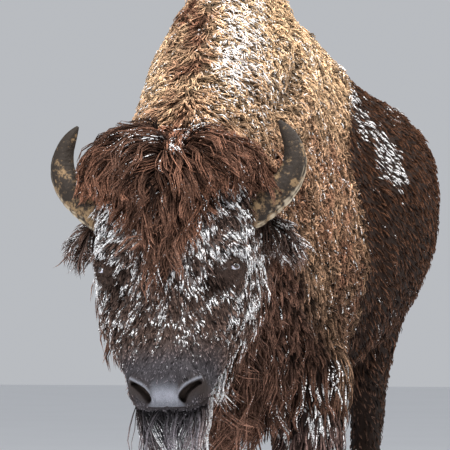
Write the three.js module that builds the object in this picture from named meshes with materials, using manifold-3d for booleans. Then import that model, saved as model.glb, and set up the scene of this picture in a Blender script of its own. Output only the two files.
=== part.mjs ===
// A life-size American bison bull in winter coat, its head lowered and its left hind foot forward.
// Millimetres, +Z up. The bull faces -Y, so its own left side is at +X. Z is 0 under the hooves.
// Every outline is that of the coat: a solid reaches out to the tips of the hair.
import * as THREE from 'three';
import { LoftGeometry } from 'three/addons/geometries/LoftGeometry.js';
import { mergeVertices } from 'three/addons/utils/BufferGeometryUtils.js';
import Module from 'manifold-3d';

const wasm = await Module();
wasm.setup();

// ---------------------------------------------------------------- driving dimensions

const HUMP_TOP = 1790; // ground to the top of the hump's hair
const CROUP_TOP = 1480; // ground to the top of the rump
const BELLY = 690; // ground to the lowest hair under the barrel
const BRISKET = 560; // ground to the lowest hair of the chest mane
const RUMP_END = 1460; // how far the rump reaches behind the forelegs' axis
const NECK_END = -680; // where the neck's own loft stops, inside the head
const SHOULDER_HALF = 322; // half-width over the shoulders
const BARREL_HALF = 398; // half-width of the ribcage, at its widest
const HIP_HALF = 334; // half-width over the hips

const HIND_AXIS = 1110; // forelegs' axis to the hind legs' own
const FEET = {
  // Out from the midline and back from the leg's axis, and how far out the leg itself starts.
  // The bull is in the middle of a slow walk.
  fore_leg_left: { out: 206, back: -80, hip: 192 },
  fore_leg_right: { out: 150, back: 220, hip: 170 },
  hind_leg_left: { out: 146, back: -345, hip: 150 },
  hind_leg_right: { out: 146, back: 90, hip: 150 },
};
const CORONET = 78; // ground to the top of a hoof

const HEAD_LENGTH = 632; // poll to the end of the muzzle
const POLL = new THREE.Vector3(48, -740, 1250); // the head's own origin
const HEAD_PITCH = THREE.MathUtils.degToRad(-17); // muzzle forward of the poll
const HEAD_YAW = THREE.MathUtils.degToRad(4.5); // turned to its left
const HEAD_ROLL = THREE.MathUtils.degToRad(-1.4); // crown over to its right
const HORN_SPREAD = 616; // over the outside of both horns
const EYE_RADIUS = 21;

const GAP = 0.4; // clearance between touching pieces
const REACH = 4000; // larger than the whole animal, for cutting blocks

// ---------------------------------------------------------------- materials

const fur = (color, roughness = 0.95) => new THREE.MeshStandardMaterial({ color, roughness, metalness: 0 });
const MATERIALS = {
  face: fur(0x35291f),
  forelock: fur(0x3f2519),
  cape: fur(0x93683d),
  body: fur(0x3a2a20),
  leg: fur(0x2a1e18),
  horn: new THREE.MeshStandardMaterial({ color: 0x3b372d, roughness: 0.55, metalness: 0 }),
  hoof: new THREE.MeshStandardMaterial({ color: 0x1c1815, roughness: 0.5, metalness: 0 }),
  eye: new THREE.MeshStandardMaterial({ color: 0x1a0f0a, roughness: 0.08, metalness: 0 }),
};

// ---------------------------------------------------------------- curves and sections

// A smooth function through [at, value] pairs that never overshoots them.
function through(...pairs) {
  const at = pairs.map((pair) => pair[0]);
  const value = pairs.map((pair) => pair[1]);
  const slope = pairs.slice(1).map((_, i) => (value[i + 1] - value[i]) / (at[i + 1] - at[i]));
  const tangent = value.map((_, i) => {
    if (i === 0 || i === value.length - 1) return slope[Math.min(i, slope.length - 1)];
    if (slope[i - 1] * slope[i] <= 0) return 0;
    return (2 * slope[i - 1] * slope[i]) / (slope[i - 1] + slope[i]);
  });
  return (x) => {
    const i = Math.min(Math.max(at.findIndex((a) => a > x) - 1, 0), at.length - 2);
    const last = x >= at[at.length - 1] ? at.length - 2 : i;
    const span = at[last + 1] - at[last];
    const t = THREE.MathUtils.clamp((x - at[last]) / span, 0, 1);
    const rise = value[last + 1] - value[last];
    const square = 3 * rise - (2 * tangent[last] + tangent[last + 1]) * span;
    const cube = (tangent[last] + tangent[last + 1]) * span - 2 * rise;
    return value[last] + t * (tangent[last] * span + t * (square + t * cube));
  };
}

// A cosine or sine raised to a power, for a superellipse: 1 gives a circle, more a ridge, less a box.
const signedPower = (x, power) => Math.sign(x) * Math.abs(x) ** power;

// One closed section: point(cosine, sine) for count angles all round.
function section(count, point) {
  return Array.from({ length: count }, (_, i) => {
    const angle = (2 * Math.PI * i) / count;
    return point(Math.cos(angle), Math.sin(angle));
  });
}

// Places from start to end, closer together at both ends, where a body rounds off.
function places(count, start, end) {
  return Array.from({ length: count + 1 }, (_, i) => {
    const t = i / count;
    const eased = t - (0.55 * Math.sin(2 * Math.PI * t)) / (2 * Math.PI);
    return start + (end - start) * eased;
  });
}

// How far a loft's end moves outwards when the whole loft grows by grow.
const endShift = (at, start, end, grow) => (at <= start ? -grow : at >= end ? grow : 0);

const evenly = (count, start, end) =>
  Array.from({ length: count + 1 }, (_, i) => start + ((end - start) * i) / count);

// ---------------------------------------------------------------- solids

// A geometry as a closed solid, in the place that matrix gives it.
function solid(geometry, matrix = new THREE.Matrix4()) {
  const bare = new THREE.BufferGeometry().copy(geometry).applyMatrix4(matrix);
  bare.deleteAttribute('normal');
  bare.deleteAttribute('uv');
  const merged = mergeVertices(bare, 1e-3);
  return new wasm.Manifold(new wasm.Mesh({
    numProp: 3,
    vertProperties: Float32Array.from(merged.attributes.position.array),
    triVerts: Uint32Array.from(merged.index.array),
  }));
}

// A closed solid through sections, whichever way round their points run.
function loft(sections, matrix) {
  const [first, next] = sections;
  const facing = new THREE.Vector3();
  for (let i = 1; i < first.length - 1; i++) {
    facing.add(first[i].clone().sub(first[0]).cross(first[i + 1].clone().sub(first[0])));
  }
  const backwards = facing.dot(next[0].clone().sub(first[0])) < 0;
  const ordered = backwards ? sections.map((points) => [...points].reverse()) : sections;
  return solid(new LoftGeometry(ordered, { capStart: true, capEnd: true }), matrix);
}

const ball = (radius, centre, matrix) =>
  solid(new THREE.SphereGeometry(radius, 12, 8).translate(centre.x, centre.y, centre.z), matrix);

// A block that holds everything in front of a plane. Seen from the side, the plane passes through [y, z] and
// leans by lean radians. The block is moved back by extra.
function frontBlock([y, z], lean, extra = 0) {
  const block = new THREE.BoxGeometry(REACH, REACH, REACH).translate(0, -REACH / 2 + extra, 0);
  return solid(block, new THREE.Matrix4().makeRotationX(lean).setPosition(0, y, z));
}

// A side-view outline as a block from inner to outer along X, grown outwards by extra.
function sideBlock(outline, side, inner, extra = 0) {
  const centre = outline.reduce((sum, p) => sum.add(p), new THREE.Vector2()).divideScalar(outline.length);
  const grown = outline.map((p) => p.clone().add(p.clone().sub(centre).setLength(extra)));
  const shape = new THREE.Shape(new THREE.SplineCurve([...grown, grown[0]]).getPoints(18));
  const plate = new THREE.ExtrudeGeometry(shape, { depth: REACH, bevelEnabled: false, curveSegments: 1 });
  // The shape is drawn as (y, z) and pushed along x.
  const turned = new THREE.Matrix4().makeBasis(
    new THREE.Vector3(0, 1, 0),
    new THREE.Vector3(0, 0, 1),
    new THREE.Vector3(1, 0, 0),
  );
  const start = side > 0 ? inner - extra : -inner + extra - REACH;
  return solid(plate, turned.setPosition(start, 0, 0));
}

// ---------------------------------------------------------------- trunk and neck

const back = through(
  [NECK_END, 1200], [-600, 1300], [-500, 1422], [-350, 1585], [-190, 1715], [-40, 1778],
  [70, HUMP_TOP], [210, 1754], [400, 1662], [620, 1556], [840, 1504], [1040, CROUP_TOP], [1220, 1458],
  [1350, 1380], [RUMP_END - 22, 1265], [RUMP_END, 1160],
);
const under = through(
  [NECK_END, 960], [-600, 835], [-520, 730], [-400, 630], [-200, BRISKET], [40, 572], [280, 622],
  [540, BELLY - 6], [740, BELLY + 26], [920, 786], [1080, 850], [1260, 900], [RUMP_END - 40, 990],
  [RUMP_END, 1090],
);
const halfWidth = through(
  [NECK_END, 140], [-590, 182], [-480, 212], [-280, 256], [-60, SHOULDER_HALF - 16],
  [100, SHOULDER_HALF], [360, 360], [620, BARREL_HALF], [840, 384], [1040, HIP_HALF], [1220, 280],
  [1360, 198], [RUMP_END - 20, 112], [RUMP_END, 50],
);
const widest = through(
  [NECK_END, 1090], [-300, 1030], [0, 960], [300, 1010], [620, 1095], [1040, 1190], [RUMP_END, 1130],
);
const roofSide = through(
  [NECK_END, 1.06], [-450, 1.02], [-200, 1.12], [150, 1.30], [420, 1.30], [700, 1.04], [1040, 0.86],
  [RUMP_END, 1],
);
const roofTop = through(
  [NECK_END, 1.0], [-200, 1.06], [150, 1.14], [560, 1.02], [1040, 0.86], [RUMP_END, 1],
);

function trunk(grow = 0) {
  const sections = places(25, NECK_END, RUMP_END).map((y) => {
    const level = widest(y);
    return section(22, (c, s) => {
      const over = s > 0;
      const x = (halfWidth(y) + grow) * signedPower(c, over ? roofSide(y) : 0.92);
      const high = (over ? back(y) - level : level - under(y)) + grow;
      const z = level + high * signedPower(s, over ? roofTop(y) : 0.96);
      return new THREE.Vector3(x, y + endShift(y, NECK_END, RUMP_END, grow), z);
    });
  });
  return loft(sections);
}

// The tuft of long hair under a bull's barrel.
function sheath() {
  const spread = through([0, 60], [0.45, 44], [0.8, 26], [1, 8]);
  const top = new THREE.Vector3(0, 590, BELLY + 60);
  return hanging(top, 165, new THREE.Vector3(0, 20, 0), spread, (t) => spread(t) * 1.4, 5, 10);
}

// ---------------------------------------------------------------- legs

// Each row of a leg: height, out from the foot's line, back from the leg's axis, half-width, half-depth.
const FORE_LEG = [
  [1000, 12, 30, 90, 150], [860, 14, 32, 104, 160], [740, 12, 32, 108, 152], [620, 8, 24, 108, 132],
  [520, 5, 14, 102, 114], [440, 2, 8, 84, 94], [375, 0, 4, 56, 64], [310, 0, 8, 42, 50],
  [210, 0, 14, 40, 47], [150, 0, 12, 48, 56], [105, 0, -2, 45, 51], [CORONET + GAP, 0, -12, 53, 60],
];
const HIND_LEG = [
  [1250, 8, -20, 80, 190], [1100, 30, -30, 118, 235], [960, 26, -62, 112, 230], [840, 18, -80, 98, 198],
  [730, 10, -48, 76, 146], [630, 4, 6, 58, 102], [550, 2, 40, 50, 82], [470, 0, 38, 44, 62],
  [370, 0, 20, 40, 51], [230, 0, 0, 39, 47], [160, 0, -8, 47, 55], [105, 0, -24, 44, 50],
  [CORONET + GAP, 0, -34, 51, 58],
];

// How much of a foot's place reaches this height: all of it at the ground, none of it at the joint above.
const swing = (z, pivot) => THREE.MathUtils.clamp((pivot - z) / pivot, 0, 1) ** 0.75;

function leg({ rows, side, axis, foot }) {
  const pivot = rows[0][0];
  const column = (i) => through(...rows.map((row) => [-row[0], row[i]]));
  const [out, behind, wide, deep] = [1, 2, 3, 4].map(column);
  const sections = evenly(16, pivot, rows[rows.length - 1][0]).map((z) => {
    const share = swing(z, pivot);
    const x = side * (foot.hip + (foot.out - foot.hip) * share + out(-z));
    const y = axis + behind(-z) + foot.back * share;
    return section(12, (c, s) => new THREE.Vector3(
      x + wide(-z) * signedPower(c, 0.95),
      y + deep(-z) * signedPower(s, 0.95),
      z,
    ));
  });
  return loft(sections);
}

const footY = ({ rows, axis, foot }) => axis + rows[rows.length - 1][2] + foot.back * swing(0, rows[0][0]);

// One claw of a cloven hoof, on its flat sole. It is narrower and further back at the top.
function toe(side, centre, y, size) {
  const half = 27 * size;
  const sections = [0, 0.12, 0.5, 1].map((t) => {
    const length = (72 - 17 * t - 5 * (1 - t) ** 6) * size;
    const width = (half - 3.2 * t) - 2.5 * (1 - t) ** 6;
    const shift = -16 + 14 * t;
    return section(10, (c, s) => {
      const inward = side * c < 0 ? 0.85 : 1; // the side that faces the cleft is flatter
      const pointed = s < 0 ? 1.12 : 0.9;
      return new THREE.Vector3(
        centre + width * inward * signedPower(c, 0.75),
        y + shift + length * pointed * signedPower(s, s < 0 ? 1 : 0.7),
        CORONET * t,
      );
    });
  });
  return loft(sections);
}

// A dewclaw: a short horn cone that points down and back behind the fetlock.
function dewclaw(x, y, z) {
  const sections = [0, 0.45, 0.8, 1].map((t) => {
    const radius = 16 * Math.sqrt(1 - 0.9 * t * t);
    return section(6, (c, s) => new THREE.Vector3(
      x + radius * c,
      y + 40 * t + radius * 0.5 * s,
      z - 24 * t + radius * s,
    ));
  });
  return loft(sections);
}

// ---------------------------------------------------------------- head

// The head's own frame: x to its left, y back from the face, z up from the poll.
const headFrame = new THREE.Matrix4()
  .makeRotationFromEuler(new THREE.Euler(HEAD_PITCH, HEAD_ROLL, HEAD_YAW, 'ZYX'))
  .setPosition(POLL);

// Half-widths and reaches of the head, each by the depth below the poll.
const CROWN = -34;
const FACE = {
  wide: through(
    [CROWN, 70], [0, 140], [60, 180], [140, 190], [230, 185], [310, 182], [380, 174], [440, 158],
    [500, 134], [545, 109], [580, 95], [605, 91], [622, 82], [HEAD_LENGTH, 62],
  ),
  front: through(
    [CROWN, 30], [0, 78], [70, 108], [150, 122], [260, 118], [350, 102], [440, 88], [510, 88],
    [560, 96], [600, 90], [622, 70], [HEAD_LENGTH, 44],
  ),
  rear: through(
    [CROWN, 60], [0, 130], [80, 200], [170, 236], [270, 246], [350, 226], [420, 184], [480, 146],
    [530, 112], [575, 84], [612, 60], [HEAD_LENGTH, 34],
  ),
  boxiness: through([CROWN, 1], [130, 0.86], [310, 0.76], [480, 0.8], [580, 0.78], [HEAD_LENGTH, 0.85]),
  cheek: through([CROWN, 0], [140, 0.15], [230, 0.4], [380, 0.4], [500, 0.1], [HEAD_LENGTH, 0]),
};

function skull(grow = 0) {
  const sections = places(19, CROWN, HEAD_LENGTH).map((depth) => {
    const down = depth + endShift(depth, CROWN, HEAD_LENGTH, grow);
    return section(18, (c, s) => {
      const full = 1 + FACE.cheek(depth) * Math.max(s, 0);
      const x = (FACE.wide(depth) * full + grow) * signedPower(c, FACE.boxiness(depth));
      const reach = (s < 0 ? FACE.front(depth) : FACE.rear(depth)) + grow;
      return new THREE.Vector3(x, reach * signedPower(s, s < 0 ? 0.86 : 0.98), -down);
    });
  });
  return loft(sections, headFrame);
}

// The lower jaw, whose chin shows below and behind the muzzle.
const JAW_START = 300;
const JAW_END = 664;
const JAW = {
  wide: through(
    [JAW_START, 150], [390, 162], [460, 142], [530, 108], [590, 78], [635, 56], [JAW_END, 26],
  ),
  middle: through([JAW_START, 176], [390, 152], [460, 118], [530, 82], [590, 52], [JAW_END, 36]),
  thick: through([JAW_START, 66], [390, 76], [460, 72], [530, 60], [590, 48], [640, 34], [JAW_END, 14]),
};

function jaw(grow = 0) {
  const sections = evenly(9, JAW_START, JAW_END).map((depth) => {
    const down = depth + endShift(depth, JAW_START, JAW_END, grow);
    return section(12, (c, s) => new THREE.Vector3(
      (JAW.wide(depth) + grow) * signedPower(c, 0.9),
      JAW.middle(depth) + (JAW.thick(depth) + grow) * signedPower(s, 0.9),
      -down,
    ));
  });
  return loft(sections, headFrame);
}

// The mop of long hair that falls from the poll over the forehead, to a point between the eyes.
const MOP_TOP = -68;
const MOP_TIP = 306;
const MOP = {
  wide: through(
    [MOP_TOP, 70], [-56, 130], [-20, 188], [40, 222], [90, 222], [140, 186], [200, 124], [260, 64],
    [MOP_TIP, 24],
  ),
  front: through(
    [MOP_TOP, 36], [-46, 92], [0, 138], [60, 168], [130, 174], [210, 158], [265, 140], [MOP_TIP, 124],
  ),
  rear: through([MOP_TOP, 40], [-46, 96], [0, 128], [60, 118], [120, 60], [180, -30], [MOP_TIP, -96]),
};

function forelock() {
  const sections = places(12, MOP_TOP, MOP_TIP).map((depth) =>
    section(14, (c, s) => new THREE.Vector3(
      MOP.wide(depth) * signedPower(c, 0.9),
      (s < 0 ? MOP.front(depth) : MOP.rear(depth)) * s,
      -depth,
    )),
  );
  return loft(sections, headFrame);
}

// A rounded piece along a curve through points, turned into place by matrix. Its half-width is radius(t) one
// way and flat(t) the other.
function alongCurve(points, matrix, { steps, around, radius, flat = radius, grow = 0 }) {
  const curve = new THREE.CatmullRomCurve3(points);
  const frames = curve.computeFrenetFrames(steps, false);
  const sections = evenly(steps, 0, 1).map((t, i) =>
    section(around, (c, s) =>
      curve
        .getPointAt(t)
        .addScaledVector(frames.tangents[i], endShift(t, 0, 1, grow))
        .addScaledVector(frames.normals[i], (radius(t) + grow) * c)
        .addScaledVector(frames.binormals[i], (flat(t) + grow) * s),
    ),
  );
  return loft(sections, matrix);
}

const mirrored = (side, points) => points.map(([x, y, z]) => new THREE.Vector3(side * x, y, z));

// A horn leaves the side of the head, sweeps out and up, and turns in at its tip. Points are out, back, up.
function horn(side, grow = 0) {
  const outer = HORN_SPREAD / 2 - 31;
  const points = mirrored(side, [
    [118, 10, -170], [184, 14, -142], [238, 16, -102], [outer - 3, 14, -54], [outer, 8, -8],
    [outer - 13, 0, 30], [outer - 38, -10, 66],
  ]);
  const radius = (t) => 4 + 50 * (1 - t) ** 0.56;
  return alongCurve(points, headFrame, { steps: 12, around: 10, radius, grow });
}

// An ear stands out sideways and down, under the horn: a thick leaf.
function ear(side) {
  const points = mirrored(side, [[140, 88, -140], [184, 98, -154], [226, 108, -176], [262, 116, -206]]);
  const radius = (t) => 5 + 44 * Math.sin(Math.PI * (0.22 + 0.78 * t)) ** 0.8;
  return alongCurve(points, headFrame, { steps: 7, around: 10, radius, flat: (t) => 6 + 20 * (1 - t) });
}

const eyePlace = (side) => new THREE.Vector3(side * 149, -66, -312);

// A nostril: a comma that is wide near the midline and runs up and outwards.
function nostril(side) {
  const points = mirrored(side, [[40, -84, -615], [54, -82, -608], [68, -76, -599], [82, -66, -586]]);
  const [radius, flat] = [(t) => 16 - 8 * t, (t) => 9 - 4 * t];
  return alongCurve(points, headFrame, { steps: 5, around: 8, radius, flat });
}

// The mouth: a thin slot between the lips, from the front of the muzzle back along both cheeks.
function mouth() {
  const slot = new THREE.BoxGeometry(260, 150, 5).translate(0, -75, 0);
  const place = new THREE.Matrix4().makeRotationX(THREE.MathUtils.degToRad(52)).setPosition(0, 52, -572);
  return solid(slot, headFrame.clone().multiply(place));
}

// ---------------------------------------------------------------- beard and tail

// A hanging tuft: a loft down from top by length. Its width and depth depend on the share of that length.
function hanging(top, length, drift, wide, deep, steps, around) {
  const sections = evenly(steps, 0, 1).map((t) =>
    section(around, (c, s) => new THREE.Vector3(
      top.x + drift.x * t + wide(t) * c,
      top.y + drift.y * t + deep(t) * s,
      top.z - length * t,
    )),
  );
  return loft(sections);
}

function beard() {
  const top = new THREE.Vector3(0, 110, -545).applyMatrix4(headFrame);
  const spread = through([0, 80], [0.25, 94], [0.6, 66], [0.85, 34], [1, 8]);
  const depth = through([0, 84], [0.3, 92], [0.6, 64], [0.85, 34], [1, 8]);
  return hanging(top, 300, new THREE.Vector3(0, 10, 0), spread, depth, 9, 12);
}

const TAIL_END = new THREE.Vector3(12, RUMP_END + 42, 900);

// The tail leaves the top of the rump, arches over its end and hangs.
function tail() {
  const points = mirrored(1, [
    [0, RUMP_END - 130, 1310], [0, RUMP_END - 40, 1312], [0, RUMP_END + 28, 1248], [4, RUMP_END + 52, 1130],
    TAIL_END.toArray(),
  ]);
  const radius = through([0, 52], [0.2, 44], [0.45, 31], [0.8, 24], [1, 22]);
  return alongCurve(points, new THREE.Matrix4(), { steps: 12, around: 8, radius });
}

function tailTuft() {
  const top = TAIL_END.clone().setZ(TAIL_END.z - 6);
  const spread = through([0, 22], [0.3, 42], [0.65, 38], [1, 6]);
  return hanging(top, 290, new THREE.Vector3(4, -8, 0), spread, spread, 6, 8);
}

// ---------------------------------------------------------------- the whole bull, parted with thin cuts

const group = new THREE.Group();

function keep(name, piece, material) {
  const data = piece.getMesh();
  const places3 = new Float32Array(data.numVert * 3);
  for (let i = 0; i < data.numVert; i++) {
    places3.set(data.vertProperties.subarray(i * data.numProp, i * data.numProp + 3), i * 3);
  }
  const geometry = new THREE.BufferGeometry();
  geometry.setAttribute('position', new THREE.BufferAttribute(places3, 3));
  geometry.setIndex(new THREE.BufferAttribute(data.triVerts, 1));
  geometry.computeVertexNormals();
  const mesh = new THREE.Mesh(geometry, material);
  mesh.name = name;
  group.add(mesh);
}

const SIDES = { left: 1, right: -1 };
const LEGS = Object.entries(SIDES).flatMap(([word, side]) => [
  { name: `fore_leg_${word}`, rows: FORE_LEG, side, axis: 0, hoof: 1.04 },
  { name: `hind_leg_${word}`, rows: HIND_LEG, side, axis: HIND_AXIS, hoof: 0.96 },
]).map((one) => ({ ...one, foot: FEET[one.name] }));

const dewclaws = LEGS.flatMap((one) => {
  const y = footY(one) + 44;
  return [-1, 1].map((out) => dewclaw(one.side * one.foot.out + 25 * out, y, 142));
});

let flesh = wasm.Manifold.union([trunk(), sheath(), skull(), jaw(), ...LEGS.map(leg), ...dewclaws]);

// Takes the part of the flesh inside a block away as a node, and leaves the rest clear of it.
function part(name, block, grownBlock, material) {
  keep(name, flesh.intersect(block), material);
  flesh = flesh.subtract(grownBlock);
}

// Hollows in the head for the eyes, nostrils and mouth, and seats for the horns.
for (const side of Object.values(SIDES)) {
  flesh = flesh
    .subtract(ball(EYE_RADIUS + GAP, eyePlace(side), headFrame))
    .subtract(nostril(side))
    .subtract(horn(side, GAP));
}
flesh = flesh.subtract(mouth());

for (const one of LEGS) {
  const { name, side, axis, hoof, foot } = one;
  const outline = (name.startsWith('fore')
    ? [[-330, -50], [400, -50], [330, 560], [220, 720], [30, 790], [-150, 740], [-245, 560]]
    : [[axis - 560, -50], [axis + 330, -50], [axis + 260, 700], [axis + 225, 1030], [axis + 40, 1190],
      [axis - 190, 1120], [axis - 345, 900], [axis - 350, 560]]
  ).map(([y, z]) => new THREE.Vector2(y, z));
  part(name, sideBlock(outline, side, 1), sideBlock(outline, side, 1, GAP), MATERIALS.leg);
  for (const [word, out] of [['outer', 1], ['inner', -1]]) {
    const x = side * (foot.out + out * 29 * hoof);
    keep(`${name.replace('leg', 'hoof')}_${word}`, toe(out * side, x, footY(one), hoof), MATERIALS.hoof);
  }
}

const headCut = [[-540, 1130], THREE.MathUtils.degToRad(-6)];
const neckCut = [[-290, 1150], THREE.MathUtils.degToRad(-9)];
const foreCut = [[320, 1150], THREE.MathUtils.degToRad(-4)];
const rumpCut = [[900, 1150], THREE.MathUtils.degToRad(6)];
part('head', frontBlock(...headCut), frontBlock(...headCut, GAP), MATERIALS.face);
part('neck', frontBlock(...neckCut), frontBlock(...neckCut, GAP), MATERIALS.cape);
part('forequarters', frontBlock(...foreCut), frontBlock(...foreCut, GAP), MATERIALS.cape);
part('barrel', frontBlock(...rumpCut), frontBlock(...rumpCut, GAP), MATERIALS.body);
keep('hindquarters', flesh, MATERIALS.body);

const inside = wasm.Manifold.union([skull(GAP), jaw(GAP), trunk(GAP)]);
const horns = wasm.Manifold.union(Object.values(SIDES).map((side) => horn(side, GAP)));
keep('forelock', forelock().subtract(inside).subtract(horns), MATERIALS.forelock);
keep('beard', beard().subtract(inside), MATERIALS.face);
for (const [word, side] of Object.entries(SIDES)) {
  keep(`horn_${word}`, horn(side), MATERIALS.horn);
  keep(`eye_${word}`, ball(EYE_RADIUS, eyePlace(side), headFrame), MATERIALS.eye);
  keep(`ear_${word}`, ear(side).subtract(inside).subtract(horns), MATERIALS.face);
}
keep('tail', tail().subtract(trunk(GAP)), MATERIALS.body);
keep('tail_tuft', tailTuft(), MATERIALS.leg);

// The origin is the bottom centre of the bounding box.
const middle = new THREE.Box3().setFromObject(group).getCenter(new THREE.Vector3());
group.position.set(-middle.x, -middle.y, 0);

export default group;
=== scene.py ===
"""A life-size bison bull in winter coat: skin, coat, horns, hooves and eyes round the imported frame."""

import math
from collections import namedtuple
from functools import partial

import bmesh
import bpy
import numpy as np
from bpy.props import FloatProperty, FloatVectorProperty, PointerProperty
from mathutils import Matrix, Vector
from mathutils.bvhtree import BVHTree
from mathutils.kdtree import KDTree


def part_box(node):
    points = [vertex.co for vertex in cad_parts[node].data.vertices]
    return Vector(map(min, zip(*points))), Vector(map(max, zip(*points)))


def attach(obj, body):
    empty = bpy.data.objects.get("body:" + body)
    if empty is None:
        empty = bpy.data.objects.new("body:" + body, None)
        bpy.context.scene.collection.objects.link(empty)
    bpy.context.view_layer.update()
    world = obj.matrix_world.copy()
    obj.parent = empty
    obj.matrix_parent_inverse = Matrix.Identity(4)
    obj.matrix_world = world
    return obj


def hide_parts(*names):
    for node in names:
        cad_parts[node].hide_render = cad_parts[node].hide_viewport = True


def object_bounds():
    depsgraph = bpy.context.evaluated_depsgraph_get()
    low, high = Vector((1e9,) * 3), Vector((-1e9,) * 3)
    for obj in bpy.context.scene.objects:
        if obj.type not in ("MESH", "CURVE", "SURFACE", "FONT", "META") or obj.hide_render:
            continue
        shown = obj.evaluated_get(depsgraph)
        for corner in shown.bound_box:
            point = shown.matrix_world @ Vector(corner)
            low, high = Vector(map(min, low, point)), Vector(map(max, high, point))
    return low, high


bl_info = {
    "name": "Bison Bull",
    "version": (1, 0, 0),
    "blender": (4, 5, 0),
    "location": "View3D > Sidebar > Bison",
    "description": "Builds the skin, coat, horns, hooves and eyes of a life-size bison bull",
    "category": "Add Mesh",
}

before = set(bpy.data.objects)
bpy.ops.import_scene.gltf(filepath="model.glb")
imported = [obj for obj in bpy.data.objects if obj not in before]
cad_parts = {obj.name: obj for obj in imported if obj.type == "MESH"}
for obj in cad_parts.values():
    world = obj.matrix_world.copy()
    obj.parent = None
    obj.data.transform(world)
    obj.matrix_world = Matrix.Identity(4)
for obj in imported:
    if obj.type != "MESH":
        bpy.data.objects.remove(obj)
CAD_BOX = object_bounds()
BODY = "root"
SIDES = {"left": 1, "right": -1}

# ---------------------------------------------------------------- measures shared with the solids

HEAD_PITCH = math.radians(-17)
HEAD_ROLL = math.radians(-1.4)
HEAD_YAW = math.radians(4.5)
EYES_MIDDLE = Vector((0, -0.066, -0.312))  # between the eyes, in the head's own frame
SHOULDER_Y = -0.2705  # the forelegs' axis

# Middle line of a horn, out from the midline, back and up in the head's own frame.
HORN_LINE = np.array([
    (0.118, 0.010, -0.170), (0.184, 0.014, -0.142), (0.238, 0.016, -0.102), (0.274, 0.014, -0.054),
    (0.277, 0.008, -0.008), (0.264, 0, 0.030), (0.239, -0.010, 0.066),
])
# Middle line of a nostril and the rim above it, as seen from the front: out from the midline, 0, and up.
NOSTRIL_LINE = np.array([(0.041, 0, -0.615), (0.049, 0, -0.605), (0.061, 0, -0.594), (0.075, 0, -0.582)])
RIM_LINE = np.array([
    (0.028, 0, -0.621), (0.033, 0, -0.607), (0.043, 0, -0.595), (0.058, 0, -0.583), (0.077, 0, -0.570),
])
# The forelock's outline in the head's own frame: depth under the poll, and its reach right and left.
FORELOCK_EDGE = np.array([
    (-0.080, -0.130, 0.130), (-0.020, -0.215, 0.205), (0.050, -0.255, 0.245), (0.090, -0.245, 0.232),
    (0.115, -0.185, 0.165), (0.138, -0.150, 0.115), (0.178, -0.116, 0.090), (0.223, -0.090, 0.068),
    (0.265, -0.068, 0.036), (0.305, -0.046, 0.008), (0.338, -0.031, -0.029),
])
# A crease between neck and shoulder: 0, back and up in the world.
FOLD_LINE = np.array([
    (0, -0.190, 1.680), (0, -0.216, 1.624), (0, -0.255, 1.558), (0, -0.291, 1.499), (0, -0.419, 1.429),
    (0, -0.532, 1.367), (0, -0.62, 1.30),
])
LIP_ANGLE = math.radians(52)
LIP_BACK, LIP_UP = 0.052, -0.532  # a point of the plane that parts the lips
CAPE_SEAM = -0.42  # the cape's front and rear pieces meet at this y
CAPE_RAG = 0.015  # how far the cape's wool reaches past the edge of its colour

# ---------------------------------------------------------------- settings

LengthProperty = partial(FloatProperty, unit="LENGTH", min=0.001)
AngleProperty = partial(FloatProperty, subtype="ANGLE")
ColourProperty = partial(FloatVectorProperty, subtype="COLOR", min=0, max=1)


class BisonCoatLengths(bpy.types.PropertyGroup):
    """How long the hair is, region by region."""

    cape: LengthProperty(name="Cape", description="Woolly hair on hump, neck and shoulders", default=0.034)
    mane: LengthProperty(name="Mane", description="Wavy locks on the lower neck and chest", default=0.085)
    body: LengthProperty(name="Body", description="Short hair on barrel and hindquarters", default=0.028)
    face: LengthProperty(name="Face", description="Short hair between forelock and muzzle", default=0.017)
    cheek: LengthProperty(name="Cheeks", description="Longer hair behind the cheeks", default=0.070)
    forelock: LengthProperty(name="Forelock", description="Strands that fall from the crown", default=0.115)
    beard: LengthProperty(name="Beard", description="Strands under the chin", default=0.15)
    chaps: LengthProperty(name="Chaps", description="Long hair on the upper forelegs", default=0.085)
    switch: LengthProperty(name="Tail switch", description="Hair of the tail's end", default=0.19)


class BisonColours(bpy.types.PropertyGroup):
    """Colours of coat, skin and horn."""

    cape: ColourProperty(name="Cape", description="Golden-tan wool", default=(0.90, 0.62, 0.375))
    body: ColourProperty(name="Body", description="Dark chocolate hair", default=(0.098, 0.044, 0.024))
    rust: ColourProperty(name="Forelock", description="Reddish-brown hair", default=(0.285, 0.132, 0.082))
    face: ColourProperty(name="Face", description="Dark grey-brown hair", default=(0.140, 0.092, 0.075))
    muzzle: ColourProperty(name="Muzzle", description="Neutral grey hair", default=(0.080, 0.072, 0.079))
    # also the colour of painted shade in the crease, round the eyes, by the nostrils and under the head
    dark: ColourProperty(name="Legs", description="Brown-black hair", default=(0.060, 0.038, 0.030))
    frost: ColourProperty(name="Frost", description="Snow on the coat's tips", default=(0.97, 0.97, 0.98))
    nose: ColourProperty(name="Nose", description="Bare blue-grey skin", default=(0.185, 0.190, 0.218))
    horn: ColourProperty(name="Horn", description="Weathered brown horn", default=(0.215, 0.138, 0.072))
    horn_dark: ColourProperty(name="Horn flakes", description="Black scales", default=(0.020, 0.014, 0.010))
    horn_pale: ColourProperty(name="Horn rim", description="Pale worn outer rim", default=(0.44, 0.37, 0.27))
    hoof: ColourProperty(name="Hooves", description="Dull black hoof horn", default=(0.035, 0.029, 0.025))


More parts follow.
